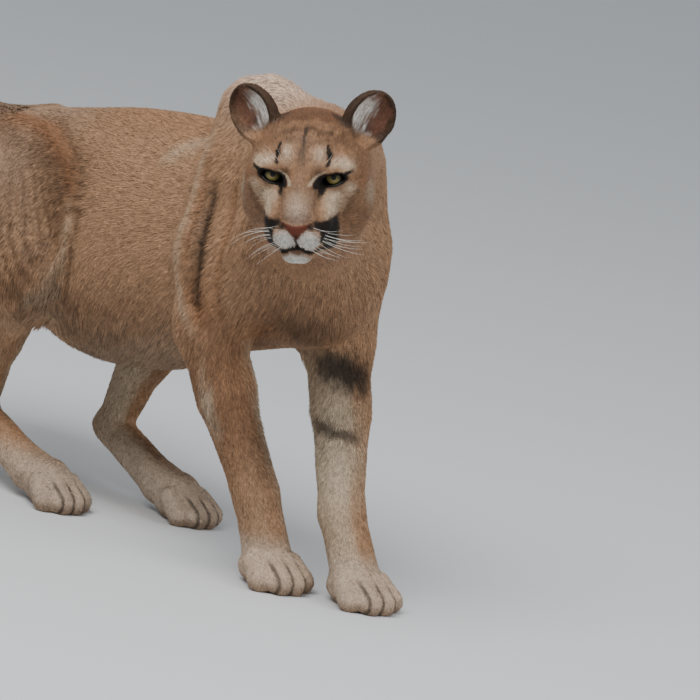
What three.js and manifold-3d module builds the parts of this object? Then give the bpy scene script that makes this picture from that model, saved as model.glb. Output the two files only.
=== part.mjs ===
// A cougar standing half crouched on a level floor, at life size, with its head turned to its right.
// Millimetres. +X runs along the body towards the chest, +Y to the animal's left side and +Z up.
// Its form is one smooth field of named muscles round named joints. The field is meshed, thinned to
// a modest number of triangles and parted by thin cuts into the pieces that a person would name.
import * as THREE from 'three';
import Module from 'manifold-3d';

const wasm = await Module();
wasm.setup();

// Driving sizes
const CUT = 0.3; // thickness of every parting cut
const FLOOR_TRIM = 1.5; // how much the pads are pressed flat
const EYE_RADIUS = 15.5;
const EYE_SPACING = 76; // between the centres of the two eyeballs
const TAIL_LENGTH_STEPS = 22;

// Fineness of the meshes
const HEAD_CELL = 2.6;
const HEAD_TRIANGLES = 4600;
const FOOT_CELL = 3.4;
const FOOT_TRIANGLES = 700;
const BODY_CELL = 9;
const BODY_TRIANGLES = 4400;

const point = (x, y, z) => new THREE.Vector3(x, y, z);

// Joints of the posed body. The near (right) fore foot is set back and carries weight; the left one leads.
const SPINE = {
  neckBase: point(236, -4, 500),
  neckMiddle: point(300, -28, 528),
  neckTop: point(362, -70, 548),
};
const FORELEGS = {
  right: {
    side: -1,
    bladeTop: point(230, -50, 601),
    shoulder: point(335, -86, 462),
    elbow: point(238, -102, 318),
    forearm: point(268, -78, 232),
    wrist: point(314, -40, 112),
    heading: -6,
    toes: point(346, -26, 0),
  },
  left: {
    side: 1,
    bladeTop: point(234, 46, 566),
    shoulder: point(304, 44, 440),
    elbow: point(290, 74, 312),
    forearm: point(325, 66, 228),
    wrist: point(388, 44, 108),
    heading: -4,
    toes: point(442, 44, 0),
  },
};
const HINDLEGS = {
  right: {
    side: -1,
    hip: point(-345, -62, 395),
    knee: point(-128, -128, 296),
    calf: point(-182, -112, 205),
    hock: point(-218, -90, 90),
    instep: point(-92, -86, 38),
    heading: -4,
    toes: point(-46, -84, 0),
  },
  left: {
    side: 1,
    hip: point(-345, 62, 395),
    knee: point(-88, 126, 292),
    calf: point(-130, 108, 198),
    hock: point(-150, 88, 86),
    instep: point(-22, 82, 38),
    heading: 2,
    toes: point(24, 82, 0),
  },
};
const TAIL = [
  point(-420, 0, 420),
  point(-500, 4, 372),
  point(-562, 8, 280),
  point(-632, 12, 180),
  point(-742, 18, 104),
  point(-872, 34, 72),
  point(-990, 62, 72),
  point(-1085, 98, 96),
];

// Outline of the trunk along the body: place, height of the back, height of the belly, half width.
const TRUNK = [
  [-468, 412, 352, 26],
  [-445, 448, 305, 58],
  [-390, 468, 268, 84],
  [-300, 486, 240, 102],
  [-200, 508, 214, 114],
  [-100, 530, 192, 124],
  [0, 545, 198, 127],
  [90, 553, 222, 120],
  [170, 562, 262, 108],
  [250, 566, 288, 96],
  [320, 540, 312, 80],
  [372, 490, 346, 54],
  [392, 452, 386, 24],
];

// The head's own frame: origin midway between the eyes, x towards the nose, y to its left, z up.
const HEAD = {
  origin: point(440, -161, 556),
  forward: point(0.703, -0.703, -0.055),
  up: point(-0.178, -0.003, 0.984),
};
// End of the sizes

HEAD.x = HEAD.forward.clone().normalize();
HEAD.y = HEAD.up.clone().cross(HEAD.x).normalize();
HEAD.z = HEAD.x.clone().cross(HEAD.y).normalize();
const headPoint = (x, y, z) =>
  HEAD.origin.clone().addScaledVector(HEAD.x, x).addScaledVector(HEAD.y, y).addScaledVector(HEAD.z, z);

// A muscle is a distance function with the ball that bounds it and the width over which it blends in.

// A rounded cone from a to b. Squeezed by `squeeze` along the direction `across`.
function limb(a, b, ra, rb, blend, across = null, squeeze = 1) {
  const centre = a.clone().lerp(b, 0.5);
  const reach = a.distanceTo(b) / 2 + Math.max(ra, rb);
  const n = across ? across.clone().normalize() : point(0, 1, 0);
  const gain = squeeze - 1;
  const stretched = (v) => v.clone().addScaledVector(n, v.dot(n) * gain);
  const a1 = stretched(a);
  const ab = stretched(b).sub(a1);
  const l2 = ab.lengthSq();
  const rr = ra - rb;
  const a2 = l2 - rr * rr;
  const il2 = 1 / l2;
  const back = 1 / Math.sqrt(squeeze);
  const distance = (x, y, z) => {
    const s = (x * n.x + y * n.y + z * n.z) * gain;
    const px = x + n.x * s - a1.x;
    const py = y + n.y * s - a1.y;
    const pz = z + n.z * s - a1.z;
    const along = px * ab.x + py * ab.y + pz * ab.z;
    const beyond = along - l2;
    const wx = px * l2 - ab.x * along;
    const wy = py * l2 - ab.y * along;
    const wz = pz * l2 - ab.z * along;
    const x2 = wx * wx + wy * wy + wz * wz;
    const y2 = along * along * l2;
    const z2 = beyond * beyond * l2;
    const k = Math.sign(rr) * rr * rr * x2;
    if (Math.sign(beyond) * a2 * z2 > k) return (Math.sqrt(x2 + z2) * il2 - rb) * back;
    if (Math.sign(along) * a2 * y2 < k) return (Math.sqrt(x2 + y2) * il2 - ra) * back;
    return ((Math.sqrt(x2 * a2 * il2) + along * rr) * il2 - ra) * back;
  };
  return { distance, centre, reach, blend };
}

// An ellipsoid. Its half axes lie along the world's axes, or along those of `frame`.
function belly(centre, rx, ry, rz, blend, frame = null) {
  const fx = frame ? frame.x : point(1, 0, 0);
  const fy = frame ? frame.y : point(0, 1, 0);
  const fz = frame ? frame.z : point(0, 0, 1);
  const distance = (x, y, z) => {
    const dx = x - centre.x;
    const dy = y - centre.y;
    const dz = z - centre.z;
    const u = (dx * fx.x + dy * fx.y + dz * fx.z) / rx;
    const v = (dx * fy.x + dy * fy.y + dz * fy.z) / ry;
    const w = (dx * fz.x + dy * fz.y + dz * fz.z) / rz;
    const k0 = Math.sqrt(u * u + v * v + w * w);
    const k1 = Math.sqrt((u * u) / (rx * rx) + (v * v) / (ry * ry) + (w * w) / (rz * rz));
    return k1 < 1e-9 ? -Math.min(rx, ry, rz) : (k0 * (k0 - 1)) / k1;
  };
  return { distance, centre, reach: Math.max(rx, ry, rz), blend };
}

// The trunk: an egg-shaped section at each place along the body.
function trunk() {
  const first = TRUNK[0][0];
  const last = TRUNK[TRUNK.length - 1][0];
  const columns = [1, 2, 3].map((c) => new THREE.SplineCurve(TRUNK.map((row) => new THREE.Vector2(row[0], row[c]))));
  const steps = 430;
  const table = columns.map((curve) => {
    const values = new Float64Array(steps + 1);
    const sampled = curve.getPoints(steps * 4);
    let at = 0;
    for (let i = 0; i <= steps; i++) {
      const x = first + ((last - first) * i) / steps;
      while (at < sampled.length - 2 && sampled[at + 1].x < x) at++;
      const t = (x - sampled[at].x) / (sampled[at + 1].x - sampled[at].x);
      values[i] = sampled[at].y + (sampled[at + 1].y - sampled[at].y) * Math.min(1, Math.max(0, t));
    }
    return values;
  });
  const distance = (x, y, z) => {
    const place = Math.min(1, Math.max(0, (x - first) / (last - first))) * steps;
    const i = Math.min(steps - 1, Math.floor(place));
    const t = place - i;
    const [top, bottom, half] = table.map((v) => v[i] + (v[i + 1] - v[i]) * t);
    const middle = (top + bottom) / 2;
    const high = (top - bottom) / 2;
    const v = (z - middle) / high;
    const wide = half * (1 - 0.12 * Math.max(-1, Math.min(1, v)));
    const k = Math.sqrt((y / wide) ** 2 + v * v);
    const side = (k - 1) * Math.min(wide, high);
    const past = Math.max(first - x, x - last, 0);
    return past > 0 ? Math.hypot(Math.max(side, 0), past) : side * 0.86;
  };
  return { distance, centre: point((first + last) / 2, 0, 380), reach: 480, blend: 1 };
}

// Muscles of a foreleg, from the shoulder blade to the wrist.
function foreleg(leg) {
  const out = leg.side;
  const across = point(0.1, 1, 0);
  const bladeRear = leg.bladeTop.clone().add(point(-36, out * 6, -17));
  const bladeFront = leg.bladeTop.clone().add(point(48, out * 2, -20));
  const armpit = point(leg.elbow.x - 18, leg.elbow.y - out * 6, leg.elbow.z + 88);
  return [
    limb(bladeRear, leg.bladeTop, 34, 36, 30, across, 1.15),
    limb(leg.bladeTop, bladeFront, 36, 34, 30, across, 1.15),
    limb(bladeFront, leg.shoulder, 42, 56, 46, across, 1.2),
    limb(bladeRear, armpit, 46, 58, 44, across, 1.25),
    limb(leg.shoulder, leg.elbow, 56, 45, 40, across, 1.1),
    limb(armpit, leg.elbow, 56, 42, 36, across, 1.15),
    limb(leg.elbow, leg.forearm, 43, 40, 26),
    limb(leg.forearm, leg.wrist, 39, 29, 18),
    belly(leg.elbow.clone().add(point(-30, 0, 4)), 24, 22, 24, 22),
  ];
}

// Muscles of a hind leg, from the hip to the instep.
function hindleg(leg) {
  const out = leg.side;
  const across = point(0.25, 1, 0);
  const seat = leg.hip.clone().add(point(-52, -out * 4, -52));
  const ham = leg.knee.clone().add(point(-92, -out * 6, -34));
  const haunch = leg.hip.clone().add(point(62, out * 6, 10));
  const kneeCap = leg.knee.clone().add(point(14, 0, -4));
  return [
    limb(leg.hip, leg.knee, 84, 58, 44, across, 1.3),
    limb(haunch, kneeCap, 66, 48, 40, across, 1.25),
    limb(seat, ham, 66, 52, 44, across, 1.25),
    limb(leg.knee, leg.calf, 50, 43, 34, across, 1.15),
    limb(ham, leg.calf, 50, 38, 30, across, 1.15),
    limb(leg.calf, leg.hock, 36, 23, 22),
    limb(leg.hock.clone().add(point(-8, 0, -2)), leg.instep, 24, 27, 16),
  ];
}

// The tail: rounded lengths along one smooth curve, fullest just before the tip.
function tail() {
  const curve = new THREE.CatmullRomCurve3(TAIL, false, 'centripetal');
  const radius = (t) => 24 + 22 * Math.exp(-t * 9) + 3 * Math.sin(Math.PI * t);
  const parts = [];
  for (let i = 0; i < TAIL_LENGTH_STEPS; i++) {
    const t = i / TAIL_LENGTH_STEPS;
    const u = (i + 1) / TAIL_LENGTH_STEPS;
    parts.push(limb(curve.getPointAt(t), curve.getPointAt(u), radius(t), radius(u), i === 0 ? 30 : 8));
  }
  return parts;
}

// A foot: an arched sole with four toes, set down flat at `toes` and joined to the leg at `from`.
function foot(leg, from, fromRadius, wide, long) {
  const turn = THREE.MathUtils.degToRad(leg.heading);
  const x = point(Math.cos(turn), Math.sin(turn), 0);
  const frame = { x, y: point(-x.y, x.x, 0), z: point(0, 0, 1) };
  const at = (u, v, w) => leg.toes.clone().addScaledVector(frame.x, u).addScaledVector(frame.y, v).add(point(0, 0, w));
  const muscles = [
    limb(from, at(-6, 0, 36), fromRadius, wide * 0.36, 18),
    belly(at(2, 0, 22), long * 0.44, wide * 0.43, 25, 14, frame),
  ];
  for (const [i, spread] of [-1.5, -0.5, 0.5, 1.5].entries()) {
    const middle = Math.abs(spread) < 1;
    const v = spread * wide * 0.235;
    const reach = long * (middle ? 0.46 : 0.31);
    const knuckle = at(reach - 26, v * 0.92, 33);
    const tip = at(reach + 1, v * 1.04, 15);
    muscles.push(limb(knuckle, tip, 14.5, 16.5, i === 0 ? 9 : 5));
  }
  return muscles;
}

// The head without its ears: brain case, brow, cheeks, muzzle, whisker pads and jaw.
function headMuscles() {
  const list = [];
  const oval = (x, y, z, rx, ry, rz, blend) => list.push(belly(headPoint(x, y, z), rx, ry, rz, blend, HEAD));
  const bar = (a, b, ra, rb, blend) => list.push(limb(headPoint(...a), headPoint(...b), ra, rb, blend));
  oval(-66, 0, 5, 72, 62, 54, 1);
  oval(-30, 0, 24, 42, 46, 34, 22);
  bar([6, 0, 10], [53, 0, -38], 22, 18, 18);
  for (const s of [-1, 1]) {
    oval(0, s * 19, 25, 20, 15, 15, 10);
    bar([17, s * 22, 12], [0, s * 54, 9], 8, 9, 9);
    oval(-24, s * 47, 12, 30, 20, 18, 16);
    oval(-34, s * 50, -16, 42, 26, 32, 20);
    oval(-62, s * 47, -40, 40, 34, 38, 30);
    bar([-52, s * 32, -58], [18, s * 15, -82], 24, 14, 18);
    bar([2, s * 23, -34], [38, s * 23, -50], 21, 19, 12);
    oval(46, s * 15.5, -65, 21, 18.5, 17, 7);
  }
  for (const s of [-1, 1]) bar([14, s * 8, -82], [41, s * 7, -91], 17, 12.5, 11);
  oval(57, 0, -53, 13, 19, 11, 6);
  return list;
}

// Neck and throat, from the shoulders to the back of the head.
function neck() {
  const nape = headPoint(-88, 0, -6);
  const gullet = headPoint(-50, 0, -58);
  return [
    limb(SPINE.neckBase, SPINE.neckMiddle, 96, 86, 60),
    limb(SPINE.neckMiddle, nape, 84, 72, 50),
    limb(point(322, -4, 400), gullet, 74, 56, 56),
  ];
}

// Smooth union of distances, each blending in over its own width.
function fieldOf(muscles) {
  return (x, y, z, list = muscles) => {
    let d = 1e9;
    for (const m of list) {
      const gap = Math.hypot(x - m.centre.x, y - m.centre.y, z - m.centre.z) - m.reach;
      if (gap * 0.62 > d + m.blend) continue;
      const e = m.distance(x, y, z);
      const h = Math.max(m.blend - Math.abs(d - e), 0) / m.blend;
      d = Math.min(d, e) - h * h * h * m.blend * (1 / 6);
    }
    return d;
  };
}

// Meshes a field inside a box by marching tetrahedra, which always gives a closed surface.
function meshField(field, low, high, cell) {
  const n = [0, 1, 2].map((i) => Math.ceil((high.getComponent(i) - low.getComponent(i)) / cell) + 1);
  const [nx, ny, nz] = n;
  const value = new Float32Array(nx * ny * nz);
  const block = 8;
  const far = block * cell * 0.5 * Math.sqrt(3) * 1.5 + 2 * cell;
  for (let k0 = 0; k0 < nz; k0 += block)
    for (let j0 = 0; j0 < ny; j0 += block)
      for (let i0 = 0; i0 < nx; i0 += block) {
        const mid = (o, axis) => low.getComponent(axis) + (o + (block - 1) / 2) * cell;
        const centre = field(mid(i0, 0), mid(j0, 1), mid(k0, 2));
        const skip = Math.abs(centre) > far;
        for (let k = k0; k < Math.min(k0 + block, nz); k++)
          for (let j = j0; j < Math.min(j0 + block, ny); j++)
            for (let i = i0; i < Math.min(i0 + block, nx); i++) {
              const edge = i === 0 || j === 0 || k === 0 || i === nx - 1 || j === ny - 1 || k === nz - 1;
              const v = skip ? centre : field(low.x + i * cell, low.y + j * cell, low.z + k * cell);
              value[i + nx * (j + ny * k)] = edge ? Math.max(v, 0.4 * cell) : v || 1e-6;
            }
      }
  const corner = [0, 1, nx, nx + 1].flatMap((o) => [o, o + nx * ny]);
  const [c000, c001, c100, c101, c010, c011, c110, c111] = corner;
  const tets = [
    [c000, c100, c110, c111],
    [c000, c110, c010, c111],
    [c000, c010, c011, c111],
    [c000, c011, c001, c111],
    [c000, c001, c101, c111],
    [c000, c101, c100, c111],
  ];
  const positions = [];
  const triangles = [];
  const seen = new Map();
  const crossing = (a, b) => {
    const key = a < b ? a * value.length + b : b * value.length + a;
    const known = seen.get(key);
    if (known !== undefined) return known;
    const t = Math.min(0.96, Math.max(0.04, value[a] / (value[a] - value[b])));
    const place = (g) => [g % nx, Math.floor(g / nx) % ny, Math.floor(g / (nx * ny))];
    const pa = place(a);
    const pb = place(b);
    const index = positions.length / 3;
    for (let i = 0; i < 3; i++) positions.push(low.getComponent(i) + (pa[i] + (pb[i] - pa[i]) * t) * cell);
    seen.set(key, index);
    return index;
  };
  for (let k = 0; k < nz - 1; k++)
    for (let j = 0; j < ny - 1; j++)
      for (let i = 0; i < nx - 1; i++) {
        const base = i + nx * (j + ny * k);
        let inside = 0;
        for (const o of corner) inside += value[base + o] < 0 ? 1 : 0;
        if (inside === 0 || inside === 8) continue;
        for (const tet of tets) {
          const ins = tet.filter((o) => value[base + o] < 0).map((o) => base + o);
          const outs = tet.filter((o) => value[base + o] >= 0).map((o) => base + o);
          if (ins.length === 0 || ins.length === 4) continue;
          const order = tet.map((o) => base + o);
          const odd = oddOrder([...ins, ...outs].map((g) => order.indexOf(g)));
          if (ins.length === 1) {
            const [p, q, r] = outs.map((g) => crossing(ins[0], g));
            triangles.push(...(odd ? [p, r, q] : [p, q, r]));
          } else if (ins.length === 3) {
            const [p, q, r] = ins.map((g) => crossing(g, outs[0]));
            triangles.push(...(odd ? [p, r, q] : [p, q, r]));
          } else {
            const p = crossing(ins[0], outs[0]);
            const q = crossing(ins[0], outs[1]);
            const r = crossing(ins[1], outs[1]);
            const s = crossing(ins[1], outs[0]);
            triangles.push(...(odd ? [p, r, q, p, s, r] : [p, q, r, p, r, s]));
          }
        }
      }
  return { positions: Float64Array.from(positions), triangles: Uint32Array.from(triangles) };
}

function oddOrder(list) {
  let swaps = 0;
  for (let i = 0; i < list.length; i++) for (let j = i + 1; j < list.length; j++) if (list[i] > list[j]) swaps++;
  return swaps % 2 === 1;
}

// The eye's centre, the ear's frame and the shapes that are carved out of the head.
const eyeCentre = (s) => headPoint(-5, (s * EYE_SPACING) / 2, 0);

function earFrame(s) {
  const base = headPoint(-70, s * 58.5, 34);
  const tip = headPoint(-74, s * 90, 96);
  const z = tip.clone().sub(base).normalize();
  const facing = headPoint(0.88, s * 0.46, 0).sub(headPoint(0, 0, 0));
  const x = facing.addScaledVector(z, -facing.dot(z)).normalize();
  return { base, x, y: z.clone().cross(x), z };
}

function earShell(s) {
  const ear = earFrame(s);
  return belly(ear.base.clone().addScaledVector(ear.z, 29), 19, 34, 42, 14, ear);
}

function carvings() {
  const list = [];
  const groove = (a, b, r) => list.push(limb(headPoint(...a), headPoint(...b), r, r, 3));
  for (const s of [-1, 1]) {
    const ear = earFrame(s);
    const cup = ear.base.clone().addScaledVector(ear.z, 35).addScaledVector(ear.x, 15);
    list.push(belly(cup, 21, 28.5, 36, 4, ear));
    const tilt = THREE.MathUtils.degToRad(15);
    const lid = { x: HEAD.x, y: point(0, 0, 0), z: point(0, 0, 0) };
    lid.y.addScaledVector(HEAD.y, s * Math.cos(tilt)).addScaledVector(HEAD.z, Math.sin(tilt));
    lid.z.crossVectors(lid.x, lid.y);
    list.push(belly(eyeCentre(s).addScaledVector(HEAD.x, 14).addScaledVector(HEAD.z, -1.5), 15, 15.5, 7.6, 2, lid));
    groove([68, s * 1, -66], [67, s * 0.5, -80], 1.8);
    groove([66, 0, -81], [52, s * 20, -86], 2.4);
    groove([52, s * 20, -86], [22, s * 40, -80], 2.4);
    groove([66, s * 10, -57], [68, s * 16, -52], 3);
  }
  return list;
}

// Thins a closed mesh by folding its least needed edges, and keeps it closed.
function thin(mesh, target) {
  const pos = mesh.positions;
  const tri = mesh.triangles;
  const vertices = pos.length / 3;
  const quadric = new Float64Array(vertices * 10);
  const fans = Array.from({ length: vertices }, () => []);
  const alive = new Uint8Array(tri.length / 3).fill(1);
  const stamp = new Int32Array(vertices);
  let count = tri.length / 3;
  const normal = (a, b, c) => {
    const ux = b[0] - a[0];
    const uy = b[1] - a[1];
    const uz = b[2] - a[2];
    const vx = c[0] - a[0];
    const vy = c[1] - a[1];
    const vz = c[2] - a[2];
    return [uy * vz - uz * vy, uz * vx - ux * vz, ux * vy - uy * vx];
  };
  const at = (v) => [pos[v * 3], pos[v * 3 + 1], pos[v * 3 + 2]];
  for (let t = 0; t < alive.length; t++) {
    const ids = [tri[t * 3], tri[t * 3 + 1], tri[t * 3 + 2]];
    const [a, b, c] = ids.map(at);
    const n = normal(a, b, c);
    const area = Math.hypot(...n) || 1e-12;
    const [x, y, z] = n.map((v) => v / area);
    const w = -(x * a[0] + y * a[1] + z * a[2]);
    const q = [x * x, x * y, x * z, x * w, y * y, y * z, y * w, z * z, z * w, w * w];
    for (const v of ids) {
      fans[v].push(t);
      for (let i = 0; i < 10; i++) quadric[v * 10 + i] += q[i] * (area + 0.02);
    }
  }
  const cost = (q, p) => {
    const [x, y, z] = p;
    const first = q[0] * x * x + 2 * (q[1] * x * y + q[2] * x * z + q[3] * x);
    return Math.max(0, first + q[4] * y * y + 2 * (q[5] * y * z + q[6] * y + q[8] * z) + q[7] * z * z + q[9]);
  };
  const fold = (a, b) => {
    const q = new Float64Array(10);
    for (let i = 0; i < 10; i++) q[i] = quadric[a * 10 + i] + quadric[b * 10 + i];
    const pa = at(a);
    const pb = at(b);
    const middle = pa.map((v, i) => (v + pb[i]) / 2);
    const span = Math.hypot(pa[0] - pb[0], pa[1] - pb[1], pa[2] - pb[2]);
    let best = [pa, pb, middle].reduce((m, p) => (cost(q, p) < cost(q, m) ? p : m), middle);
    const c0 = q[4] * q[7] - q[5] * q[5];
    const c1 = q[2] * q[5] - q[1] * q[7];
    const c2 = q[1] * q[5] - q[2] * q[4];
    const det = q[0] * c0 + q[1] * c1 + q[2] * c2;
    if (det > 1e-6 * Math.pow(q[0] + q[4] + q[7], 3)) {
      const d3 = q[0] * q[7] - q[2] * q[2];
      const d4 = q[1] * q[2] - q[0] * q[5];
      const d5 = q[0] * q[4] - q[1] * q[1];
      const p = [
        -(c0 * q[3] + c1 * q[6] + c2 * q[8]) / det,
        -(c1 * q[3] + d3 * q[6] + d4 * q[8]) / det,
        -(c2 * q[3] + d4 * q[6] + d5 * q[8]) / det,
      ];
      if (Math.hypot(p[0] - middle[0], p[1] - middle[1], p[2] - middle[2]) < span * 1.5) best = p;
    }
    return { a, b, p: best, q, price: cost(q, best) + span * span * 1e-3, sa: stamp[a], sb: stamp[b] };
  };
  const heap = [];
  const push = (item) => {
    let i = heap.push(item) - 1;
    while (i > 0) {
      const up = (i - 1) >> 1;
      if (heap[up].price <= item.price) break;
      heap[i] = heap[up];
      i = up;
    }
    heap[i] = item;
  };
  const pop = () => {
    const top = heap[0];
    const item = heap.pop();
    const size = heap.length;
    let i = 0;
    while (size > 0) {
      let next = 2 * i + 1;
      if (next >= size) break;
      if (next + 1 < size && heap[next + 1].price < heap[next].price) next++;
      if (heap[next].price >= item.price) break;
      heap[i] = heap[next];
      i = next;
    }
    if (size > 0) heap[i] = item;
    return top;
  };
  const ring = (v) => {
    const set = new Set();
    for (const t of fans[v]) for (let i = 0; i < 3; i++) if (tri[t * 3 + i] !== v) set.add(tri[t * 3 + i]);
    return set;
  };
  for (let v = 0; v < vertices; v++) for (const o of ring(v)) if (o > v) push(fold(v, o));
  const flips = (v, other, p) => {
    for (const t of fans[v]) {
      const ids = [tri[t * 3], tri[t * 3 + 1], tri[t * 3 + 2]];
      if (ids.includes(other)) continue;
      const old = normal(...ids.map(at));
      const now = normal(...ids.map((id) => (id === v ? p : at(id))));
      const dot = old[0] * now[0] + old[1] * now[1] + old[2] * now[2];
      if (dot < 0.25 * Math.hypot(...old) * Math.hypot(...now) || Math.hypot(...now) < 1e-3) return true;
    }
    return false;
  };
  while (count > target && heap.length > 0) {
    const f = pop();
    if (stamp[f.a] !== f.sa || stamp[f.b] !== f.sb) continue;
    const ringA = ring(f.a);
    const ringB = ring(f.b);
    let shared = 0;
    for (const v of ringA) shared += ringB.has(v) ? 1 : 0;
    if (shared !== 2 || flips(f.a, f.b, f.p) || flips(f.b, f.a, f.p)) continue;
    for (let i = 0; i < 3; i++) pos[f.a * 3 + i] = f.p[i];
    for (let i = 0; i < 10; i++) quadric[f.a * 10 + i] = f.q[i];
    for (const t of fans[f.b]) {
      const k = [0, 1, 2].map((i) => t * 3 + i);
      if (k.some((i) => tri[i] === f.a)) {
        alive[t] = 0;
        count--;
        for (const i of k) if (tri[i] !== f.b) fans[tri[i]] = fans[tri[i]].filter((other) => other !== t);
      } else {
        for (const i of k) if (tri[i] === f.b) tri[i] = f.a;
        fans[f.a].push(t);
      }
    }
    fans[f.b] = [];
    stamp[f.b] = -1;
    stamp[f.a]++;
    for (const o of ring(f.a)) push(fold(f.a, o));
  }
  const kept = [];
  for (let t = 0; t < alive.length; t++) if (alive[t]) kept.push(tri[t * 3], tri[t * 3 + 1], tri[t * 3 + 2]);
  return { positions: pos, triangles: Uint32Array.from(kept) };
}

// Turns a mesh into a solid, dropping the points that no triangle uses.
function solidOf(mesh) {
  const renumber = new Map();
  const places = [];
  const triangles = mesh.triangles.map((v) => {
    if (!renumber.has(v)) {
      renumber.set(v, places.length / 3);
      places.push(mesh.positions[v * 3], mesh.positions[v * 3 + 1], mesh.positions[v * 3 + 2]);
    }
    return renumber.get(v);
  });
  const shape = new wasm.Mesh({ numProp: 3, vertProperties: Float32Array.from(places), triVerts: triangles });
  shape.merge();
  return new wasm.Manifold(shape);
}

function solidOfGeometry(geometry, matrix) {
  const moved = geometry.clone().applyMatrix4(matrix);
  const places = new Map();
  const positions = [];
  const attribute = moved.getAttribute('position');
  const ids = [];
  for (let i = 0; i < attribute.count; i++) {
    const v = [attribute.getX(i), attribute.getY(i), attribute.getZ(i)];
    const key = v.map((c) => Math.round(c * 1000)).join();
    if (!places.has(key)) {
      places.set(key, positions.length / 3);
      positions.push(...v);
    }
    ids.push(places.get(key));
  }
  const triangles = [];
  const index = moved.index ? Array.from(moved.index.array) : ids.map((_, i) => i);
  for (let i = 0; i < index.length; i += 3) {
    const [a, b, c] = [ids[index[i]], ids[index[i + 1]], ids[index[i + 2]]];
    if (a !== b && b !== c && c !== a) triangles.push(a, b, c);
  }
  return solidOf({ positions, triangles: Uint32Array.from(triangles) });
}

// A box whose x axis is turned to `normal`. The box is centred on `centre`.
function turnedBox(centre, normal, thick, wide, high) {
  const x = normal.clone().normalize();
  const y = point(0, 0, 1).cross(x);
  if (y.lengthSq() < 0.01) y.set(0, 1, 0);
  y.addScaledVector(x, -y.dot(x)).normalize();
  const matrix = new THREE.Matrix4().makeBasis(x, y, x.clone().cross(y)).setPosition(centre);
  return solidOfGeometry(new THREE.BoxGeometry(thick, wide, high), matrix);
}

const slab = (centre, normal, wide, high) => turnedBox(centre, normal, CUT, wide, high);

// The block on the far side of a plane, starting `gap` beyond it.
function beyond(centre, normal, deep, wide, high, gap) {
  const middle = centre.clone().addScaledVector(normal.clone().normalize(), deep / 2 + gap);
  return turnedBox(middle, normal, deep, wide, high);
}

// Every muscle of the body below the head, and the head's own.
const legs = [
  ['front_right', FORELEGS.right, foreleg, foot(FORELEGS.right, FORELEGS.right.wrist, 29, 88, 104)],
  ['front_left', FORELEGS.left, foreleg, foot(FORELEGS.left, FORELEGS.left.wrist, 29, 88, 104)],
  ['rear_right', HINDLEGS.right, hindleg, foot(HINDLEGS.right, HINDLEGS.right.instep, 26, 76, 96)],
  ['rear_left', HINDLEGS.left, hindleg, foot(HINDLEGS.left, HINDLEGS.left.instep, 26, 76, 96)],
];
const legMuscles = legs.flatMap(([, leg, muscles, sole]) => [...muscles(leg), ...sole]);
const neckMuscles = neck();
const skull = headMuscles();
const bodyField = fieldOf([trunk(), ...neckMuscles, ...legMuscles, ...tail(), ...skull]);

// The head's field: lids, ears and neck are joined on, then its openings are carved.
const headSolids = [...skull, ...neckMuscles];
for (const s of [-1, 1]) {
  headSolids.push(belly(eyeCentre(s), EYE_RADIUS + 3.5, EYE_RADIUS + 3.5, EYE_RADIUS + 2.5, 5));
  headSolids.push(earShell(s));
}
const headCarvings = carvings();
const headWhole = fieldOf(headSolids);
const headField = (x, y, z) => {
  let d = headWhole(x, y, z);
  for (const c of headCarvings) {
    const e = -c.distance(x, y, z);
    const h = Math.max(c.blend - Math.abs(d - e), 0) / c.blend;
    d = Math.max(d, e) + h * h * h * c.blend * (1 / 6);
  }
  return d;
};

const group = new THREE.Group();
group.name = 'cougar';

const FINISHES = {
  coat: { color: 0x9a7650, roughness: 0.85, metalness: 0 },
  ear: { color: 0x7d5a3f, roughness: 0.85, metalness: 0 },
  eye: { color: 0x8f8a3c, roughness: 0.15, metalness: 0 },
  pad: { color: 0x6f5b49, roughness: 0.85, metalness: 0 },
};

// Adds the largest closed body of a solid to the group as a named mesh.
function addNode(name, solid, finish) {
  const bodies = solid.decompose();
  const body = bodies.reduce((m, b) => (b.volume() > m.volume() ? b : m), bodies[0]);
  const data = body.getMesh();
  const geometry = new THREE.BufferGeometry();
  geometry.setAttribute('position', new THREE.BufferAttribute(Float32Array.from(data.vertProperties), 3));
  geometry.setIndex(new THREE.BufferAttribute(Uint32Array.from(data.triVerts), 1));
  geometry.translate(0, 0, -FLOOR_TRIM);
  const mesh = new THREE.Mesh(geometry, new THREE.MeshStandardMaterial(FINISHES[finish]));
  mesh.name = name;
  group.add(mesh);
}

// Cuts a solid by slabs and names each closed body after the nearest of the given places.
function addCutNodes(solid, slabs, places, finish) {
  let cut = solid;
  for (const s of slabs) cut = cut.subtract(s);
  const best = new Map();
  for (const body of cut.decompose()) {
    const box = body.boundingBox();
    const middle = point(...box.min.map((v, i) => (v + box.max[i]) / 2));
    const [name] = Object.entries(places).reduce((m, p) => (p[1].distanceTo(middle) < m[1].distanceTo(middle) ? p : m));
    if (!best.has(name) || best.get(name).volume() < body.volume()) best.set(name, body);
  }
  for (const [name, body] of best) addNode(name, body, finish);
}

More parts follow.
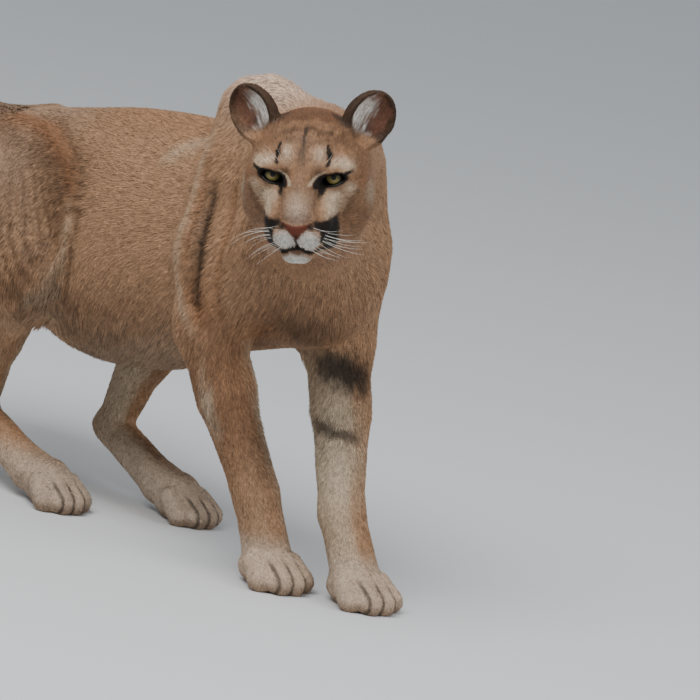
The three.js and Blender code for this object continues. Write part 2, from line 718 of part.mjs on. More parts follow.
// Head, ears and eyes
const NECK_CUT = { centre: headPoint(-100, 0, -24), normal: point(0.72, -0.62, 0.25) };
const reach = point(165, 165, 150);
const headCentre = headPoint(-20, 0, 0);
let headMesh = meshField(headField, headCentre.clone().sub(reach), headCentre.clone().add(reach), HEAD_CELL);
headMesh = thin(headMesh, HEAD_TRIANGLES);
let headSolid = solidOf(headMesh);
headSolid = headSolid.subtract(beyond(NECK_CUT.centre, NECK_CUT.normal.clone().negate(), 300, 600, 600, -CUT / 2));
const earCuts = [];
for (const s of [-1, 1]) {
  const sphere = new THREE.SphereGeometry(EYE_RADIUS, 18, 12);
  const ball = solidOfGeometry(sphere, new THREE.Matrix4().setPosition(eyeCentre(s)));
  const socket = new THREE.SphereGeometry(EYE_RADIUS + CUT, 18, 12);
  headSolid = headSolid.subtract(solidOfGeometry(socket, new THREE.Matrix4().setPosition(eyeCentre(s))));
  addNode(s < 0 ? 'eye_right' : 'eye_left', ball, 'eye');
  const ear = earFrame(s);
  earCuts.push(slab(ear.base.clone().addScaledVector(ear.z, 18), ear.z, 92, 92));
}
const earPlaces = {
  head: headPoint(0, 0, -10),
  ear_right: headPoint(-74, -80, 85),
  ear_left: headPoint(-74, 80, 85),
};
addCutNodes(headSolid, earCuts, earPlaces, 'coat');

// Feet
const footCuts = [];
for (const [name, leg, muscles, sole] of legs) {
  const front = name.startsWith('front');
  const joint = front ? leg.wrist : leg.instep.clone().lerp(leg.hock, 0.3);
  const normal = front ? point(0.25, 0, -1) : point(1, 0, -0.45);
  const centre = leg.toes.clone().add(point(-10, 0, 60));
  const size = point(110, 75, 90);
  const field = fieldOf([...muscles(leg), ...sole]);
  const mesh = meshField(field, centre.clone().sub(size), centre.clone().add(size), FOOT_CELL);
  let solid = solidOf(thin(mesh, FOOT_TRIANGLES));
  solid = solid.subtract(beyond(joint, normal.clone().negate(), 300, 400, 400, -CUT / 2));
  solid = solid.subtract(turnedBox(centre.clone().setZ(FLOOR_TRIM - 50), point(0, 0, 1), 100, 400, 400));
  addNode(`foot_${name}`, solid, 'pad');
  footCuts.push(beyond(joint, normal, 170, front ? 96 : 130, 110, -CUT / 2));
}

// Body, legs and tail
const low = point(-1140, -200, -20);
const high = point(480, 190, 690);
let bodySolid = solidOf(thin(meshField(bodyField, low, high, BODY_CELL), BODY_TRIANGLES));
bodySolid = bodySolid.subtract(beyond(NECK_CUT.centre, NECK_CUT.normal, 300, 420, 330, -CUT / 2));
for (const cutter of footCuts) bodySolid = bodySolid.subtract(cutter);
const tailCurve = new THREE.CatmullRomCurve3(TAIL, false, 'centripetal');
const tailCuts = [0.12, 0.38, 0.69].map((t) => slab(tailCurve.getPointAt(t), tailCurve.getTangentAt(t), 190, 190));
const bodyCuts = [
  slab(point(352, -45, 500), point(0.78, -0.3, 0.5), 460, 430),
  slab(point(-15, 0, 385), point(1, 0, 0.08), 420, 410),
  slab(point(258, -92, 262), point(-0.2, 0, 1), 130, 150),
  slab(point(310, 70, 258), point(-0.2, 0, 1), 120, 150),
  slab(point(-165, -118, 204), point(0.1, 0, 1), 128, 220),
  slab(point(-122, 116, 200), point(0.1, 0, 1), 128, 220),
  ...tailCuts,
];
const bodyPlaces = {
  neck: point(350, -60, 500),
  torso: point(150, 0, 420),
  hindquarters: point(-240, 0, 360),
  leg_front_right: point(290, -60, 190),
  leg_front_left: point(345, 55, 190),
  leg_rear_right: point(-190, -100, 130),
  leg_rear_left: point(-130, 100, 130),
  tail_base: tailCurve.getPointAt(0.23),
  tail_middle: tailCurve.getPointAt(0.52),
  tail_end: tailCurve.getPointAt(0.84),
};
addCutNodes(bodySolid, bodyCuts, bodyPlaces, 'coat');

// The origin goes to the middle of the footprint.
const bounds = new THREE.Box3().setFromObject(group);
const middle = bounds.getCenter(point(0, 0, 0));
for (const child of group.children) child.geometry.translate(-middle.x, -middle.y, -bounds.min.z);

export default group;
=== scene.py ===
"""A life-size cougar, half crouched with its head turned: skin, coat, eyes, nose and whiskers."""

import logging
import math
from dataclasses import dataclass, field
from enum import Enum

import bmesh
import bpy
import numpy as np
from bpy.types import ID, Material, Mesh, Node, NodeTree, Object
from mathutils import Matrix, Vector


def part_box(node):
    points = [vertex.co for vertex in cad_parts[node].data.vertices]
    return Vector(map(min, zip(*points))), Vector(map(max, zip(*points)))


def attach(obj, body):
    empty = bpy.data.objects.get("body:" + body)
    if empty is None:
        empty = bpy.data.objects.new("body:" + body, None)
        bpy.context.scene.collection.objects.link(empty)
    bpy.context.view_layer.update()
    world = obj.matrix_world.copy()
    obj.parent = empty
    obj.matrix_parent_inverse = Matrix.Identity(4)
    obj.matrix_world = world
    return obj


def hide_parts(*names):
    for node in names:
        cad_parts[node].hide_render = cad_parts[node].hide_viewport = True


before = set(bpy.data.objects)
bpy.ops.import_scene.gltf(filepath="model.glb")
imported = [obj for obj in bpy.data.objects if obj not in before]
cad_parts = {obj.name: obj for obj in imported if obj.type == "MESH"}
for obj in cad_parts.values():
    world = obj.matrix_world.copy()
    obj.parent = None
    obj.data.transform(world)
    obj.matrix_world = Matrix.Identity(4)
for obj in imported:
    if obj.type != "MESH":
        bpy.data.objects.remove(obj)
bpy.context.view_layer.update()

logging.basicConfig(level=logging.INFO, format="%(message)s")
LOG = logging.getLogger("cougar")

Array = np.ndarray
Triple = tuple[float, float, float]
Pair = tuple[float, float]

# Millimetres, or plain counts and shares.
MM = 0.001
JOIN_SWELL = 0.45
SKIN_CELL = 2.4
SKIN_KEPT = 0.27
WHOLE_ROUNDS = 2
BODY_ROUNDS = 16
PIECE_TUFTS = 46000
FLOOR_CLEAR = 0.5
NO_TUFTS_BELOW = 2.5
DARK_TUFTS = 0.12
EYE_TILT = math.radians(15.0)
LID_DROP = 1.5


def unit(v: Array) -> Array:
    """Return vectors scaled to length one."""
    v = np.asarray(v, float)
    return v / np.maximum(np.linalg.norm(v, axis=-1, keepdims=True), 1e-12)


def linear(rgb: Triple) -> Array:
    """Turn a colour of 0 to 255 as seen on a screen into linear light."""
    c = np.asarray(rgb, float) / 255.0
    return np.where(c <= 0.04045, c / 12.92, ((c + 0.055) / 1.055) ** 2.4)


def smooth(low: float, high: float, x: Array) -> Array:
    """Rise smoothly from 0 at low to 1 at high."""
    t = np.clip((x - low) / (high - low), 0.0, 1.0)
    return t * t * (3.0 - 2.0 * t)


def bell(x: Array, width: float, power: int = 2) -> Array:
    """Return 1 where x is 0, falling to 0 beyond a width; a higher power gives a flatter top."""
    return np.exp(-((x / width) ** power))


def noise(p: Array, cell: float, seed: int) -> Array:
    """Smooth value noise from -1 to 1.

    Args:
        p: Points, in the unit of cell.
        cell: Size of one cell of the noise.
        seed: Which noise.

    Returns:
        One value a point.
    """
    q = p / cell
    base = np.floor(q).astype(np.int64)
    f = q - base
    f = f * f * (3.0 - 2.0 * f)
    total = np.zeros(len(p))
    for corner in range(8):
        o = np.array([corner & 1, corner >> 1 & 1, corner >> 2 & 1])
        c = base + o
        h = (c[:, 0] * 73856093) ^ (c[:, 1] * 19349663) ^ (c[:, 2] * 83492791) ^ (seed * 2654435761)
        h = (h & 0xFFFFFFFF) * 2246822519 & 0xFFFFFFFF
        h = (h ^ (h >> 15)) * 3266489917 & 0xFFFFFFFF
        value = (h ^ (h >> 13)).astype(float) / 0xFFFFFFFF
        total += value * np.prod(np.where(o == 1, f, 1.0 - f), axis=1)
    return total * 2.0 - 1.0


def flecks(p: Array, cell: float, seed: int) -> Array:
    """Return the same noise from 0 to 1."""
    return noise(p, cell, seed) * 0.5 + 0.5


def path(*points: tuple[float, ...]) -> Array:
    """Return a row of points as an array."""
    return np.array(points, float)


def from_segment(p: Array, a: Array, b: Array) -> Array:
    """Return the shortest way from the segment between a and b to each place."""
    ab = b - a
    t = np.clip(((p - a) @ ab) / (ab @ ab), 0.0, 1.0)
    return p - (a + t[:, None] * ab)


def spot(p: Array, centre: Triple, radii: Triple, hard: float = 2.0) -> Array:
    """Return 1 at the centre of an egg-shaped spot and 0 beyond its edge."""
    q = (p - np.array(centre)) / np.array(radii)
    return np.exp(-(np.sum(q * q, axis=1) ** (hard / 2.0)))


def mirrored(h: Array) -> Array:
    """Fold places in the head's axes onto its left side."""
    return np.abs(h) * [0, 1, 0] + h * [1, 0, 1]


@dataclass(frozen=True)
class HeadFrame:
    """The head's own axes: x to the nose, y to its left and z up, from midway between the eyes."""

    origin: Array = field(default_factory=lambda: np.array([440.0, -161.0, 556.0]))
    forward: Array = field(default_factory=lambda: np.array([0.703, -0.703, -0.055]))
    up: Array = field(default_factory=lambda: np.array([-0.178, -0.003, 0.984]))
    eye_spacing: float = 76.0
    eye_depth: float = -5.0
    eye_radius: float = 15.5

    def axes(self) -> Array:
        """Return the three axes as rows."""
        x = unit(self.forward)
        y = unit(np.cross(self.up, x))
        return np.array([x, y, np.cross(x, y)])

    def point(self, x: float, y: float, z: float) -> Array:
        """Return a place given in the head's axes as a place on the body, in millimetres."""
        return self.origin + np.array([x, y, z], float) @ self.axes()

    def local(self, p: Array) -> Array:
        """Return places on the body in the head's own axes."""
        return (p - self.origin) @ self.axes().T

    def eye(self, side: int) -> Array:
        """Return the middle of an eyeball, left for side 1 and right for side -1."""
        return self.point(self.eye_depth, side * self.eye_spacing / 2, 0.0)


HEAD = HeadFrame()
SHIFT = np.mean(np.array(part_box("eye_right"), float), axis=0) / MM - HEAD.eye(-1)
FLOOR = float(np.array(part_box("foot_front_left"), float)[0][2]) / MM - SHIFT[2]


@dataclass(frozen=True)
class Limb:
    """A leg's joints from the top to the toes, in millimetres, and where its paw points."""

    joints: Array
    heading: float
    rear: bool = False

    def wrist(self) -> tuple[Array, Array]:
        """Return the middle and the direction of the plane where the foot's coat begins."""
        if self.rear:
            return 0.3 * self.joints[2] + 0.7 * self.joints[3], unit(path(1.0, 0.0, -0.45))
        return self.joints[3], unit(path(0.25, 0.0, -1.0))

    def paw(self) -> Pair:
        """Return the paw's width and length."""
        return (76.0, 96.0) if self.rear else (88.0, 104.0)


LIMBS = {
    "front_right": Limb(
        path((232, -60, 600), (335, -86, 462), (238, -102, 318), (314, -40, 112), (346, -26, 26), (400, -30, 10)),
        -6.0,
    ),
    "front_left": Limb(
        path((248, 50, 560), (304, 44, 440), (290, 74, 312), (388, 44, 108), (442, 44, 26), (500, 40, 10)), -4.0
    ),
    "rear_right": Limb(
        path((-345, -62, 430), (-128, -128, 296), (-218, -90, 90), (-92, -86, 38), (-46, -84, 24), (10, -88, 8)),
        -4.0,
        rear=True,
    ),
    "rear_left": Limb(
        path((-345, 62, 430), (-88, 126, 292), (-150, 88, 86), (-22, 82, 38), (24, 82, 24), (80, 84, 8)),
        2.0,
        rear=True,
    ),
}
TAIL = path(
    (-420, 0, 420), (-500, 4, 372), (-562, 8, 280), (-632, 12, 180),
    (-742, 18, 104), (-872, 34, 72), (-990, 62, 72), (-1085, 98, 96),
)
NECK_PLANE = (path(372, -70, 520), unit(path(0.78, -0.4, 0.4)))
THIGH_EDGE = path(
    (-270, 483), (-191, 476), (-121, 456), (-78, 432), (-54, 390), (-48, 345), (-56, 289), (-100, 235)
)
ELBOW_CREASE = path((219, 505), (223, 490), (233, 458), (245, 414), (249, 363), (260, 337))
ELBOW_RIDGE = path((182, 560), (180, 500), (201, 439), (209, 366), (247, 326), (268, 300))
BACK_RIDGE = path((150, 556), (110, 528), (78, 500))
NECK_FOLDS = (
    path((262, 500), (276, 450), (284, 400), (292, 340)),
    path((196, 520), (214, 460), (224, 400)),
)


class Region(Enum):
    """The three parts of the coat, each with how many tufts it grows."""

    HEAD = 120000
    BODY = 218000
    FEET = 32000


def head_share(p: Array) -> Array:
    """Return 1 on the head, 0 on the body and a soft step between them on the neck."""
    return smooth(0.0, 45.0, (p - NECK_PLANE[0]) @ NECK_PLANE[1])


def region_at(p: Array, region: Region) -> Array:
    """Find where a part of the coat grows.

    Args:
        p: Places in millimetres, in the animal's own layout.
        region: The part of the coat.

    Returns:
        A mask of the places.
    """
    head = (p - NECK_PLANE[0]) @ NECK_PLANE[1] > 0.0
    if region is Region.HEAD:
        return head
    feet = np.zeros(len(p), bool)
    for limb in LIMBS.values():
        centre, normal = limb.wrist()
        near = np.linalg.norm(p - centre, axis=1) < 130.0
        same = (p[:, 1] > 0) == (centre[1] > 0) if limb.rear else np.abs(p[:, 1] - centre[1]) < 48.0
        feet |= near & same & ((p - centre) @ normal > 0.0)
    return feet if region is Region.FEET else ~head & ~feet


class CoatLie:
    """Which way the hair lies at each place on the animal."""

    def __init__(self) -> None:
        """Gather the lines and their reach along the legs, tail, neck and chest."""
        self.lines: list[tuple[Array, Array, float]] = []
        for limb in LIMBS.values():
            self.lines += zip(limb.joints[:-1], limb.joints[1:], (70.0, 70.0, 45.0, 45.0, 45.0))
        self.lines += zip(TAIL[:-1], TAIL[1:], [45.0] * (len(TAIL) - 1))
        withers = path(236, -4, 560)
        self.lines += [
            (HEAD.point(-60, 0, 20), withers, 80.0),
            (HEAD.point(-40, 0, -70), path(340, 0, 400), 70.0),
            (withers, path(60, 0, 520), 80.0),
        ]

    def body(self, p: Array) -> Array:
        """Find the lie of the coat over the body and legs.

        Args:
            p: Places in millimetres, in the animal's own layout.

        Returns:
            A direction at each place.
        """
        fall = smooth(470, 260, p[:, 2])
        out = np.stack([-1.0 + 0.55 * fall, np.zeros(len(p)), -0.2 - 0.75 * fall], axis=1) * 0.25
        for a, b, reach in self.lines:
            distance = np.linalg.norm(from_segment(p, a, b), axis=1)
            out += bell(distance, reach)[:, None] * unit(b - a)
        return unit(out)

    def whole(self, p: Array) -> Array:
        """Find the lie of the coat anywhere: on the head away from the nose and up the ears.

        Args:
            p: Places in millimetres, in the animal's own layout.

        Returns:
            A direction at each place.
        """
        h = HEAD.local(p)
        away = h - np.array([66.0, 0.0, -48.0])
        away[:, 1] *= 1.15
        ear = smooth(32, 50, h[:, 2]) * smooth(30, 48, np.abs(h[:, 1]))
        rise = np.stack([np.full(len(h), -0.1), np.sign(h[:, 1]) * 0.5, np.full(len(h), 0.85)], axis=1)
        flow = unit(unit(away) * (1 - ear)[:, None] + rise * ear[:, None])
        share = head_share(p)[:, None]
        return unit(flow @ HEAD.axes() * share + self.body(p) * (1 - share))


def line_distance(p: Array, line: Array) -> tuple[Array, Array]:
    """Measure how far places are from a line seen from the side.

    Args:
        p: Places on the animal.
        line: The line's points, as distances along and up.

    Returns:
        The distance, and which side a place is on: negative behind the line.
    """
    q = p[:, [0, 2]]
    best = np.full(len(q), 1e9)
    side = np.zeros(len(q))
    for a, b in zip(line[:-1], line[1:]):
        d = from_segment(q, a, b)
        length = np.hypot(d[:, 0], d[:, 1])
        closer = length < best
        best = np.where(closer, length, best)
        side = np.where(closer, np.sign((b - a)[0] * d[:, 1] - (b - a)[1] * d[:, 0]), side)
    return best, side


def eye_space(h: Array) -> Array:
    """Measure how far out of the eye's opening places are.

    Args:
        h: Places in the head's axes.

    Returns:
        1 on the lid's edge, more outside it.
    """
    y = np.abs(h[:, 1]) - HEAD.eye_spacing / 2
    z = h[:, 2] + LID_DROP
    u = y * math.cos(EYE_TILT) + z * math.sin(EYE_TILT)
    v = -y * math.sin(EYE_TILT) + z * math.cos(EYE_TILT)
    return np.where(h[:, 0] > -8.0, np.sqrt((u / 15.2) ** 2 + (v / 7.6) ** 2), 9.0)


def nose_mask(h: Array) -> Array:
    """Return 1 on the bare nose and 0 off it, for places in the head's axes."""
    x, y, z = h[:, 0], np.abs(h[:, 1]), h[:, 2]
    half = np.interp(z, [-71, -66, -60, -54, -48, -44], [1.0, 4.0, 9.0, 15.0, 20.5, 20.5])
    top = -50.5 + 0.13 * y
    return smooth(1, -1, y - half) * smooth(46, 51, x) * smooth(-71.5, -69, z) * smooth(1, -1, z - top)


@dataclass(frozen=True)
class Ear:
    """The ears' place and shape, in the head's axes, for the left one; the right one mirrors it."""

    base: Triple = (-70.0, 58.5, 34.0)
    rise: Triple = (-4.0, 31.5, 62.0)
    facing: Pair = (0.88, 0.46)

    def masks(self, h: Array, hn: Array) -> tuple[Array, Array, Array, Array, Array]:
        """Find the ears.

        Args:
            h: Places in the head's axes.
            hn: Outward directions there.

        Returns:
            Masks of the ear, its cup and its edge, then the places across and up it.
        """
        side = np.sign(h[:, 1])
        flip = np.stack([np.ones(len(h)), side, np.ones(len(h))], axis=1)
        axes = unit(np.array(self.rise)) * flip
        facing = np.array([self.facing[0], self.facing[1], 0.0]) * flip
        facing = unit(facing - np.sum(facing * axes, axis=1, keepdims=True) * axes)
        q = h - np.array(self.base) * flip
        along = np.sum(q * axes, axis=1)
        deep = np.sum(q * facing, axis=1)
        inward = unit(np.cross(axes, facing)) * -side[:, None]
        across = np.sum(q * inward, axis=1)
        near = np.sqrt((across / 34.0) ** 2 + ((along - 29.0) / 42.0) ** 2)
        ear = smooth(1.3, 1.15, near) * smooth(4, 14, along) * smooth(30, 24, np.abs(deep))
        looks = np.sum(hn * facing, axis=1)
        cup = np.sqrt((across / 28.5) ** 2 + ((along - 35.0) / 36.0) ** 2) + 0.06 * noise(h, 6.0, 35)
        inside = ear * smooth(0.9, 0.74, cup) * smooth(-0.6, 0.0, looks) * smooth(-14, -8, deep)
        edge = ear * smooth(0.95, 1.0, near) * smooth(0.2, -0.1, np.abs(looks))
        return ear, inside, edge * smooth(44, 56, along - 1.2 * across), across, along


EAR = Ear()
TAWNY = linear((166, 128, 96))
BACK = linear((142, 104, 74))
PALE = linear((205, 186, 160))
WHITE = linear((222, 216, 206))
RUFOUS = linear((134, 88, 56))
FACE = linear((152, 114, 84))
GREY = linear((158, 134, 112))
DARK = linear((46, 33, 23))
BLACK = linear((20, 16, 13))
NOSE = linear((106, 56, 42))
# Pale colour of the painted highlight on the shoulder hump.
SHOULDER_HIGHLIGHT = linear((208, 178, 156))
PAW = linear((206, 184, 162))
MUZZLE = linear((190, 170, 156))
MOUTH = linear((96, 66, 52))
EAR_CUP = linear((118, 80, 62))
UPRIGHT = np.array([1.0, 1.0, 0.3])


def thigh_wrinkles(p: Array) -> Array:
    """Return the waves of the loose skin on the thigh, from -1 to 1."""
    return np.sin((p[:, 2] + 0.9 * p[:, 0]) / 19.0 * 2.0 * math.pi + 2.5 * noise(p, 40.0, 42))


@dataclass
class Layers:
    """Paint laid on in order over a set of places."""

    colour: Array

    def add(self, other: Array, amount: Array) -> None:
        """Mix another colour in by an amount a place."""
        k = np.clip(amount, 0.0, 1.0)[:, None]
        self.colour = self.colour * (1.0 - k) + other * k


class CoatPaint:
    """The colours and markings of the coat, with painted shade and highlights laid into them, worked out at any place
    on the animal.
    """

    def body(self, p: Array, n: Array) -> Array:
        """Paint the trunk, legs and tail.

        Args:
            p: Places in millimetres, in the animal's own layout.
            n: Outward directions there.

        Returns:
            Linear colours.
        """
        c = Layers(np.tile(TAWNY, (len(p), 1)))
        self.trunk(c, p, n)
        self.legs(c, p, n)
        x, up = p[:, 0], n[:, 2]
        tail = smooth(-420, -520, x)
        c.add(BACK, 0.45 * tail * smooth(-0.2, 0.7, up))
        c.add(PALE, 0.4 * tail * smooth(0.0, -0.8, up))
        c.add(DARK, 0.9 * smooth(-1020, -1060, x))
        return c.colour

    def trunk(self, c: Layers, p: Array, n: Array) -> None:
        """Paint the back, flank, shoulder and thigh, with painted shade under the belly, on the thigh and in the
        folds and creases, and painted highlights on the ridges and the top of the shoulder.

        Args:
            c: The paint so far.
            p: Places in millimetres, in the animal's own layout.
            n: Outward directions there.
        """
        x, y, z = p.T
        width, up = np.abs(y), n[:, 2]
        c.add(BACK, 0.55 * smooth(0.55, 0.98, up) * smooth(350, 450, z))
        c.add(GREY, 0.5 * smooth(-80, -220, x) * smooth(200, 330, z))
        flank = smooth(35, 65, width)
        fleck = flecks(p, 5.0, 51)
        # The lower flank and belly darker, in specks: painted shade under the body.
        low = smooth(330, 240, z) * smooth(-110, -60, x) * smooth(240, 190, x)
        c.add(BACK * 0.42, (0.3 + 0.7 * flecks(p * UPRIGHT, 7.0, 54)) * low)
        distance, side = line_distance(p, THIGH_EDGE)
        away = distance * side
        edge = smooth(30, 55, width) * (z > 270.0)
        upper = smooth(380, 430, z)
        # Along the thigh's edge: a rufous band at the top, painted shade on the thigh behind the rim and in the
        # groove in front of it, and a pale painted highlight on the rim.
        c.add(RUFOUS, 0.8 * edge * upper * bell(away + 3, 13))
        c.add(BACK * 0.45, 0.75 * edge * (0.4 + 0.6 * fleck) * bell(away + 24, 15))
        c.add(BACK * 0.4, 0.6 * edge * (1 - 0.4 * upper) * bell(away - 12, 7))
        c.add(PALE, 0.32 * edge * (1 - upper) * bell(away + 2, 5))
        crease, ridge, spine = (line_distance(p, line)[0] for line in (ELBOW_CREASE, ELBOW_RIDGE, BACK_RIDGE))
        # The elbow crease: a rufous band that is partly the coat's tone and partly painted shade, and a dark line of
        # painted shade in the crease.
        c.add(RUFOUS, 0.7 * flank * bell(crease, 24) * smooth(420, 350, z))
        c.add(DARK, 0.9 * flank * bell(crease, 9.5) * smooth(515, 480, z) * smooth(330, 355, z))
        # Pale lines on the ridge behind the elbow crease and on the ridge of the upper flank: painted highlights.
        c.add(PALE, 0.36 * flank * bell(ridge, 6.5) * smooth(580, 540, z) * smooth(300, 330, z))
        c.add(PALE, 0.3 * flank * bell(spine, 11))
        # Darker rufous lines along the neck folds: painted shade in their grooves.
        for line in NECK_FOLDS:
            c.add(RUFOUS * 0.65, 0.55 * flank * bell(line_distance(p, line)[0], 6.5) * smooth(300, 340, z))
        # A pale patch on top of the shoulder: a painted highlight on the hump.
        c.add(SHOULDER_HIGHLIGHT, 0.85 * spot(p, (240, -66, 622), (72, 52, 50), 2.6))
        # The thigh darkened, in specks and along the troughs of its wrinkles: painted shade of its folds.
        thigh = smooth(60, 90, width) * bell(x + 130, 90, 4) * bell(z - 370, 110, 4)
        c.add(BACK * 0.42, (0.1 + 0.65 * fleck) * thigh)
        c.add(DARK, 0.35 * thigh * smooth(0.35, 0.9, thigh_wrinkles(p)) * smooth(-60, -90, x))
        c.add(BACK * 0.5, 0.5 * fleck * spot(p, (350, -90, 400), (70, 110, 90), 3.0))
        c.add(PALE, 0.2 * smooth(-0.35, -0.9, up) * smooth(-380, -300, x) * smooth(230, 150, x))

    def legs(self, c: Layers, p: Array, n: Array) -> None:
        """Paint the legs and paws, with the dark patches of the left foreleg and with painted shade and highlights:
        on the right foreleg, on the chest, between the toes and along the bottom of the paws.

        Args:
            c: The paint so far.
            p: Places in millimetres, in the animal's own layout.
            n: Outward directions there.
        """
        x, y, z = p.T
        ahead, aside, _ = n.T
        inner = np.zeros(len(p))
        for limb in LIMBS.values():
            near = bell(y - limb.joints[2][1] * 0.8, 75) * smooth(330, 260, z)
            near *= smooth(170, 90, np.abs(x - limb.joints[3][0] + 20.0))
            inner = np.maximum(inner, near * smooth(0.1, 0.8, -np.sign(limb.joints[0][1]) * aside))
        c.add(PALE, 0.75 * inner)
        right = spot(p, (262, -80, 250), (90, 60, 130), 4.0)
        c.add(RUFOUS * 0.7, 0.6 * right * smooth(0.7, -0.2, aside))
        # On the right foreleg: painted shade on its inner front and a pale painted highlight down its outer back.
        c.add(DARK, 0.5 * spot(p, (318, -40, 190), (40, 30, 90), 3.0) * smooth(-0.1, 0.7, aside + ahead))
        c.add(PALE, 0.6 * spot(p, (285, -118, 215), (22, 22, 80), 3.0) * smooth(0.2, 0.8, -aside - ahead))
        white = spot(p, (350, 45, 165), (70, 60, 80), 4.0)
        c.add(PALE, 0.7 * white * smooth(-1.0, 0.5, 0.25 * noise(p, 20.0, 53) - aside))
        ragged = 7.0 * noise(p, 9.0, 52)
        patch = np.hypot((y - 55.0) / 42.0, (z + ragged - 283.0 + 0.15 * (y - 55.0)) / 25.0)
        c.add(BLACK, 0.88 * bell(patch, 1, 4) * (x > 250.0) * smooth(-0.2, 0.3, ahead))
        cross = bell(z + 0.7 * ragged - 207.0 + 0.12 * (y - 40.0), 9, 4) * (x > 300.0) * (y > -2.0)
        c.add(DARK, 0.75 * cross * smooth(72, 52, y) * smooth(-0.3, 0.3, ahead - 0.3 * aside))
        # A dark spot on the chest between the forelegs: painted shade under the neck.
        c.add(DARK, 0.7 * spot(p, (352, -40, 345), (34, 50, 38)))
        c.add(BACK * 0.5, 0.55 * flecks(p, 5.0, 51) * spot(p, (372, -40, 390), (40, 70, 60), 3.0))
        paws = smooth(80, 45, z) * smooth(-480, -300, x)
        c.add(PAW, 0.68 * paws)
        # The paws darker along their bottom edge: painted shade where they meet the floor.
        c.add(BACK * 0.8, 0.4 * paws * smooth(18, 6, z))
        for limb in LIMBS.values():
            wide, long = limb.paw()
            turn = math.radians(limb.heading)
            dx, dy = x - limb.joints[4][0], y - limb.joints[4][1]
            forth = dx * math.cos(turn) + dy * math.sin(turn)
            beside = -dx * math.sin(turn) + dy * math.cos(turn)
            on_paw = (np.abs(beside) < wide) * (forth < long) * (z < 60)
            # Black lines between the toes: painted shade in the gaps.
            for gap in (-1.0, 0.0, 1.0):
                reach = long * (0.44 if gap == 0.0 else 0.36)
                toe_gap_shade = smooth(3.4, 0.8, np.abs(beside - gap * wide * 0.235)) * smooth(46, 34, z)
                c.add(BLACK, 0.75 * toe_gap_shade * smooth(reach - 26.0, reach - 4.0, forth) * on_paw)

    def whole(self, p: Array, n: Array) -> Array:
        """Paint any place: the head in its own axes, then softly over into the body.

        Args:
            p: Places in millimetres, in the animal's own layout.
            n: Outward directions there.

        Returns:
            Linear colours.
        """
        h = HEAD.local(p)
        m = h + np.stack([1.3 * noise(h, 7.0, 61 + k) + 0.9 * noise(h, 2.6, 71 + k) for k in range(3)], axis=1)
        m[:, 1] = np.abs(m[:, 1])
        c = Layers(np.tile(FACE, (len(p), 1)))
        streak = flecks(h * np.array([0.35, 1.0, 0.45]), 2.6, 36)
        mottle = 0.5 * flecks(h, 4.5, 31) + 0.5 * streak
        self.brow(c, h, m, mottle, streak)
        self.muzzle(c, h, m, mottle)
        self.ears(c, h, n @ HEAD.axes().T)
        share = head_share(p)[:, None]
        return c.colour * share + self.body(p, n) * (1 - share)

    @staticmethod
    def stripe(m: Array, start: Pair, end: Pair, half: float) -> Array:
        """Return 1 along a straight stripe seen from the front and 0 beyond its soft edge."""
        way = from_segment(m[:, 1:], path(*start), path(*end))
        return smooth(1.35, 0.65, np.linalg.norm(way, axis=1) / half)

    def brow(self, c: Layers, h: Array, m: Array, mottle: Array, streak: Array) -> None:
        """Paint the forehead, cheeks and bridge of the nose, with painted shade in the hollows by the inner corners
        of the eyes.

        Args:
            c: The paint so far.
            h: Places in the head's axes.
            m: The same places, folded to one side and shaken a little.
            mottle: Soft specks from 0 to 1.
            streak: Fine streaks from 0 to 1.
        """
        x, y, z = m.T
        c.add(RUFOUS * 0.75, 0.95 * smooth(50, 60, z) * smooth(-8, -22, x))
        crown = smooth(30, 46, z) * smooth(-95, -55, h[:, 0]) * smooth(30, 4, x)
        c.add(BACK * 0.4, (0.1 + 1.1 * mottle**1.3) * crown)
        for colour, amount, centre, radii, hard in (
            (BACK * 0.45, 0.3 + 0.6 * mottle, (20, 0, 24), (40, 9, 24), 3.0),
            (BACK * 0.45, 0.95 * mottle, (-24, 58, 30), (34, 26, 20), 3.0),
            (RUFOUS, 0.6, (-24, 70, -4), (24, 14, 16), 3.0),
            (BACK * 0.5, 0.7 * mottle, (-40, 64, -50), (46, 34, 36), 3.0),
            (PALE, 0.28 + 0.35 * streak, (17, 20.5, 29), (24, 7.5, 10), 2.2),
            (PALE, 0.36 + 0.35 * streak, (5, 45, 18.5), (24, 13, 6.2), 2.2),
            (PALE, 0.5, (6, 56, 13), (24, 8, 7), 2.6),
            (PALE, 0.45, (-30, 80, -26), (30, 6, 22), 2.6),
            (GREY, 0.8, (44, 0, -26), (44, 18, 22), 4.0),
            (MUZZLE, 0.55, (52, 0, -38), (30, 15, 14), 3.0),
            (BACK * 0.8, 0.6, (30, 0, 4), (30, 15, 12), 3.0),
            # Dark brown by the inner corners of the eyes: painted shade in the hollows there.
            (BACK * 0.42, 0.85, (26, 18.5, 5), (24, 8, 10), 2.4),
            (BACK * 0.45, 0.85 * mottle, (38, 0, -8), (30, 18, 9), 3.0),
            (PALE, 0.46 + 0.3 * streak, (18, 42, -25), (30, 15, 12), 2.4),
            (PALE, 0.62, (30, 40, -38), (30, 8, 9), 2.6),
            (PALE, 0.5, (6, 59, -12), (24, 8, 8), 2.6),
        ):
            c.add(colour, amount * spot(m, centre, radii, hard))
        c.add(BACK * 0.45, 0.5 * self.stripe(m, (65, -18), (50, -48), 3.6) * (x > -25))
        c.add(BACK * 0.5, 0.5 * spot(m, (14, 48, -57), (30, 10, 9), 2.6))
        for colour, amount, start, end, half, behind in (
            (BACK * 0.5, 0.55, (21, -16), (24, -44), 3.6, 20),
            (BLACK, 0.93, (29, 37), (32.5, 26), 2.3, -12),
            (BLACK, 0.93, (32.5, 27), (31, 17), 2.5, -12),
            (DARK, 0.75, (1.5, 60), (0, 38), 1.3, -40),
        ):
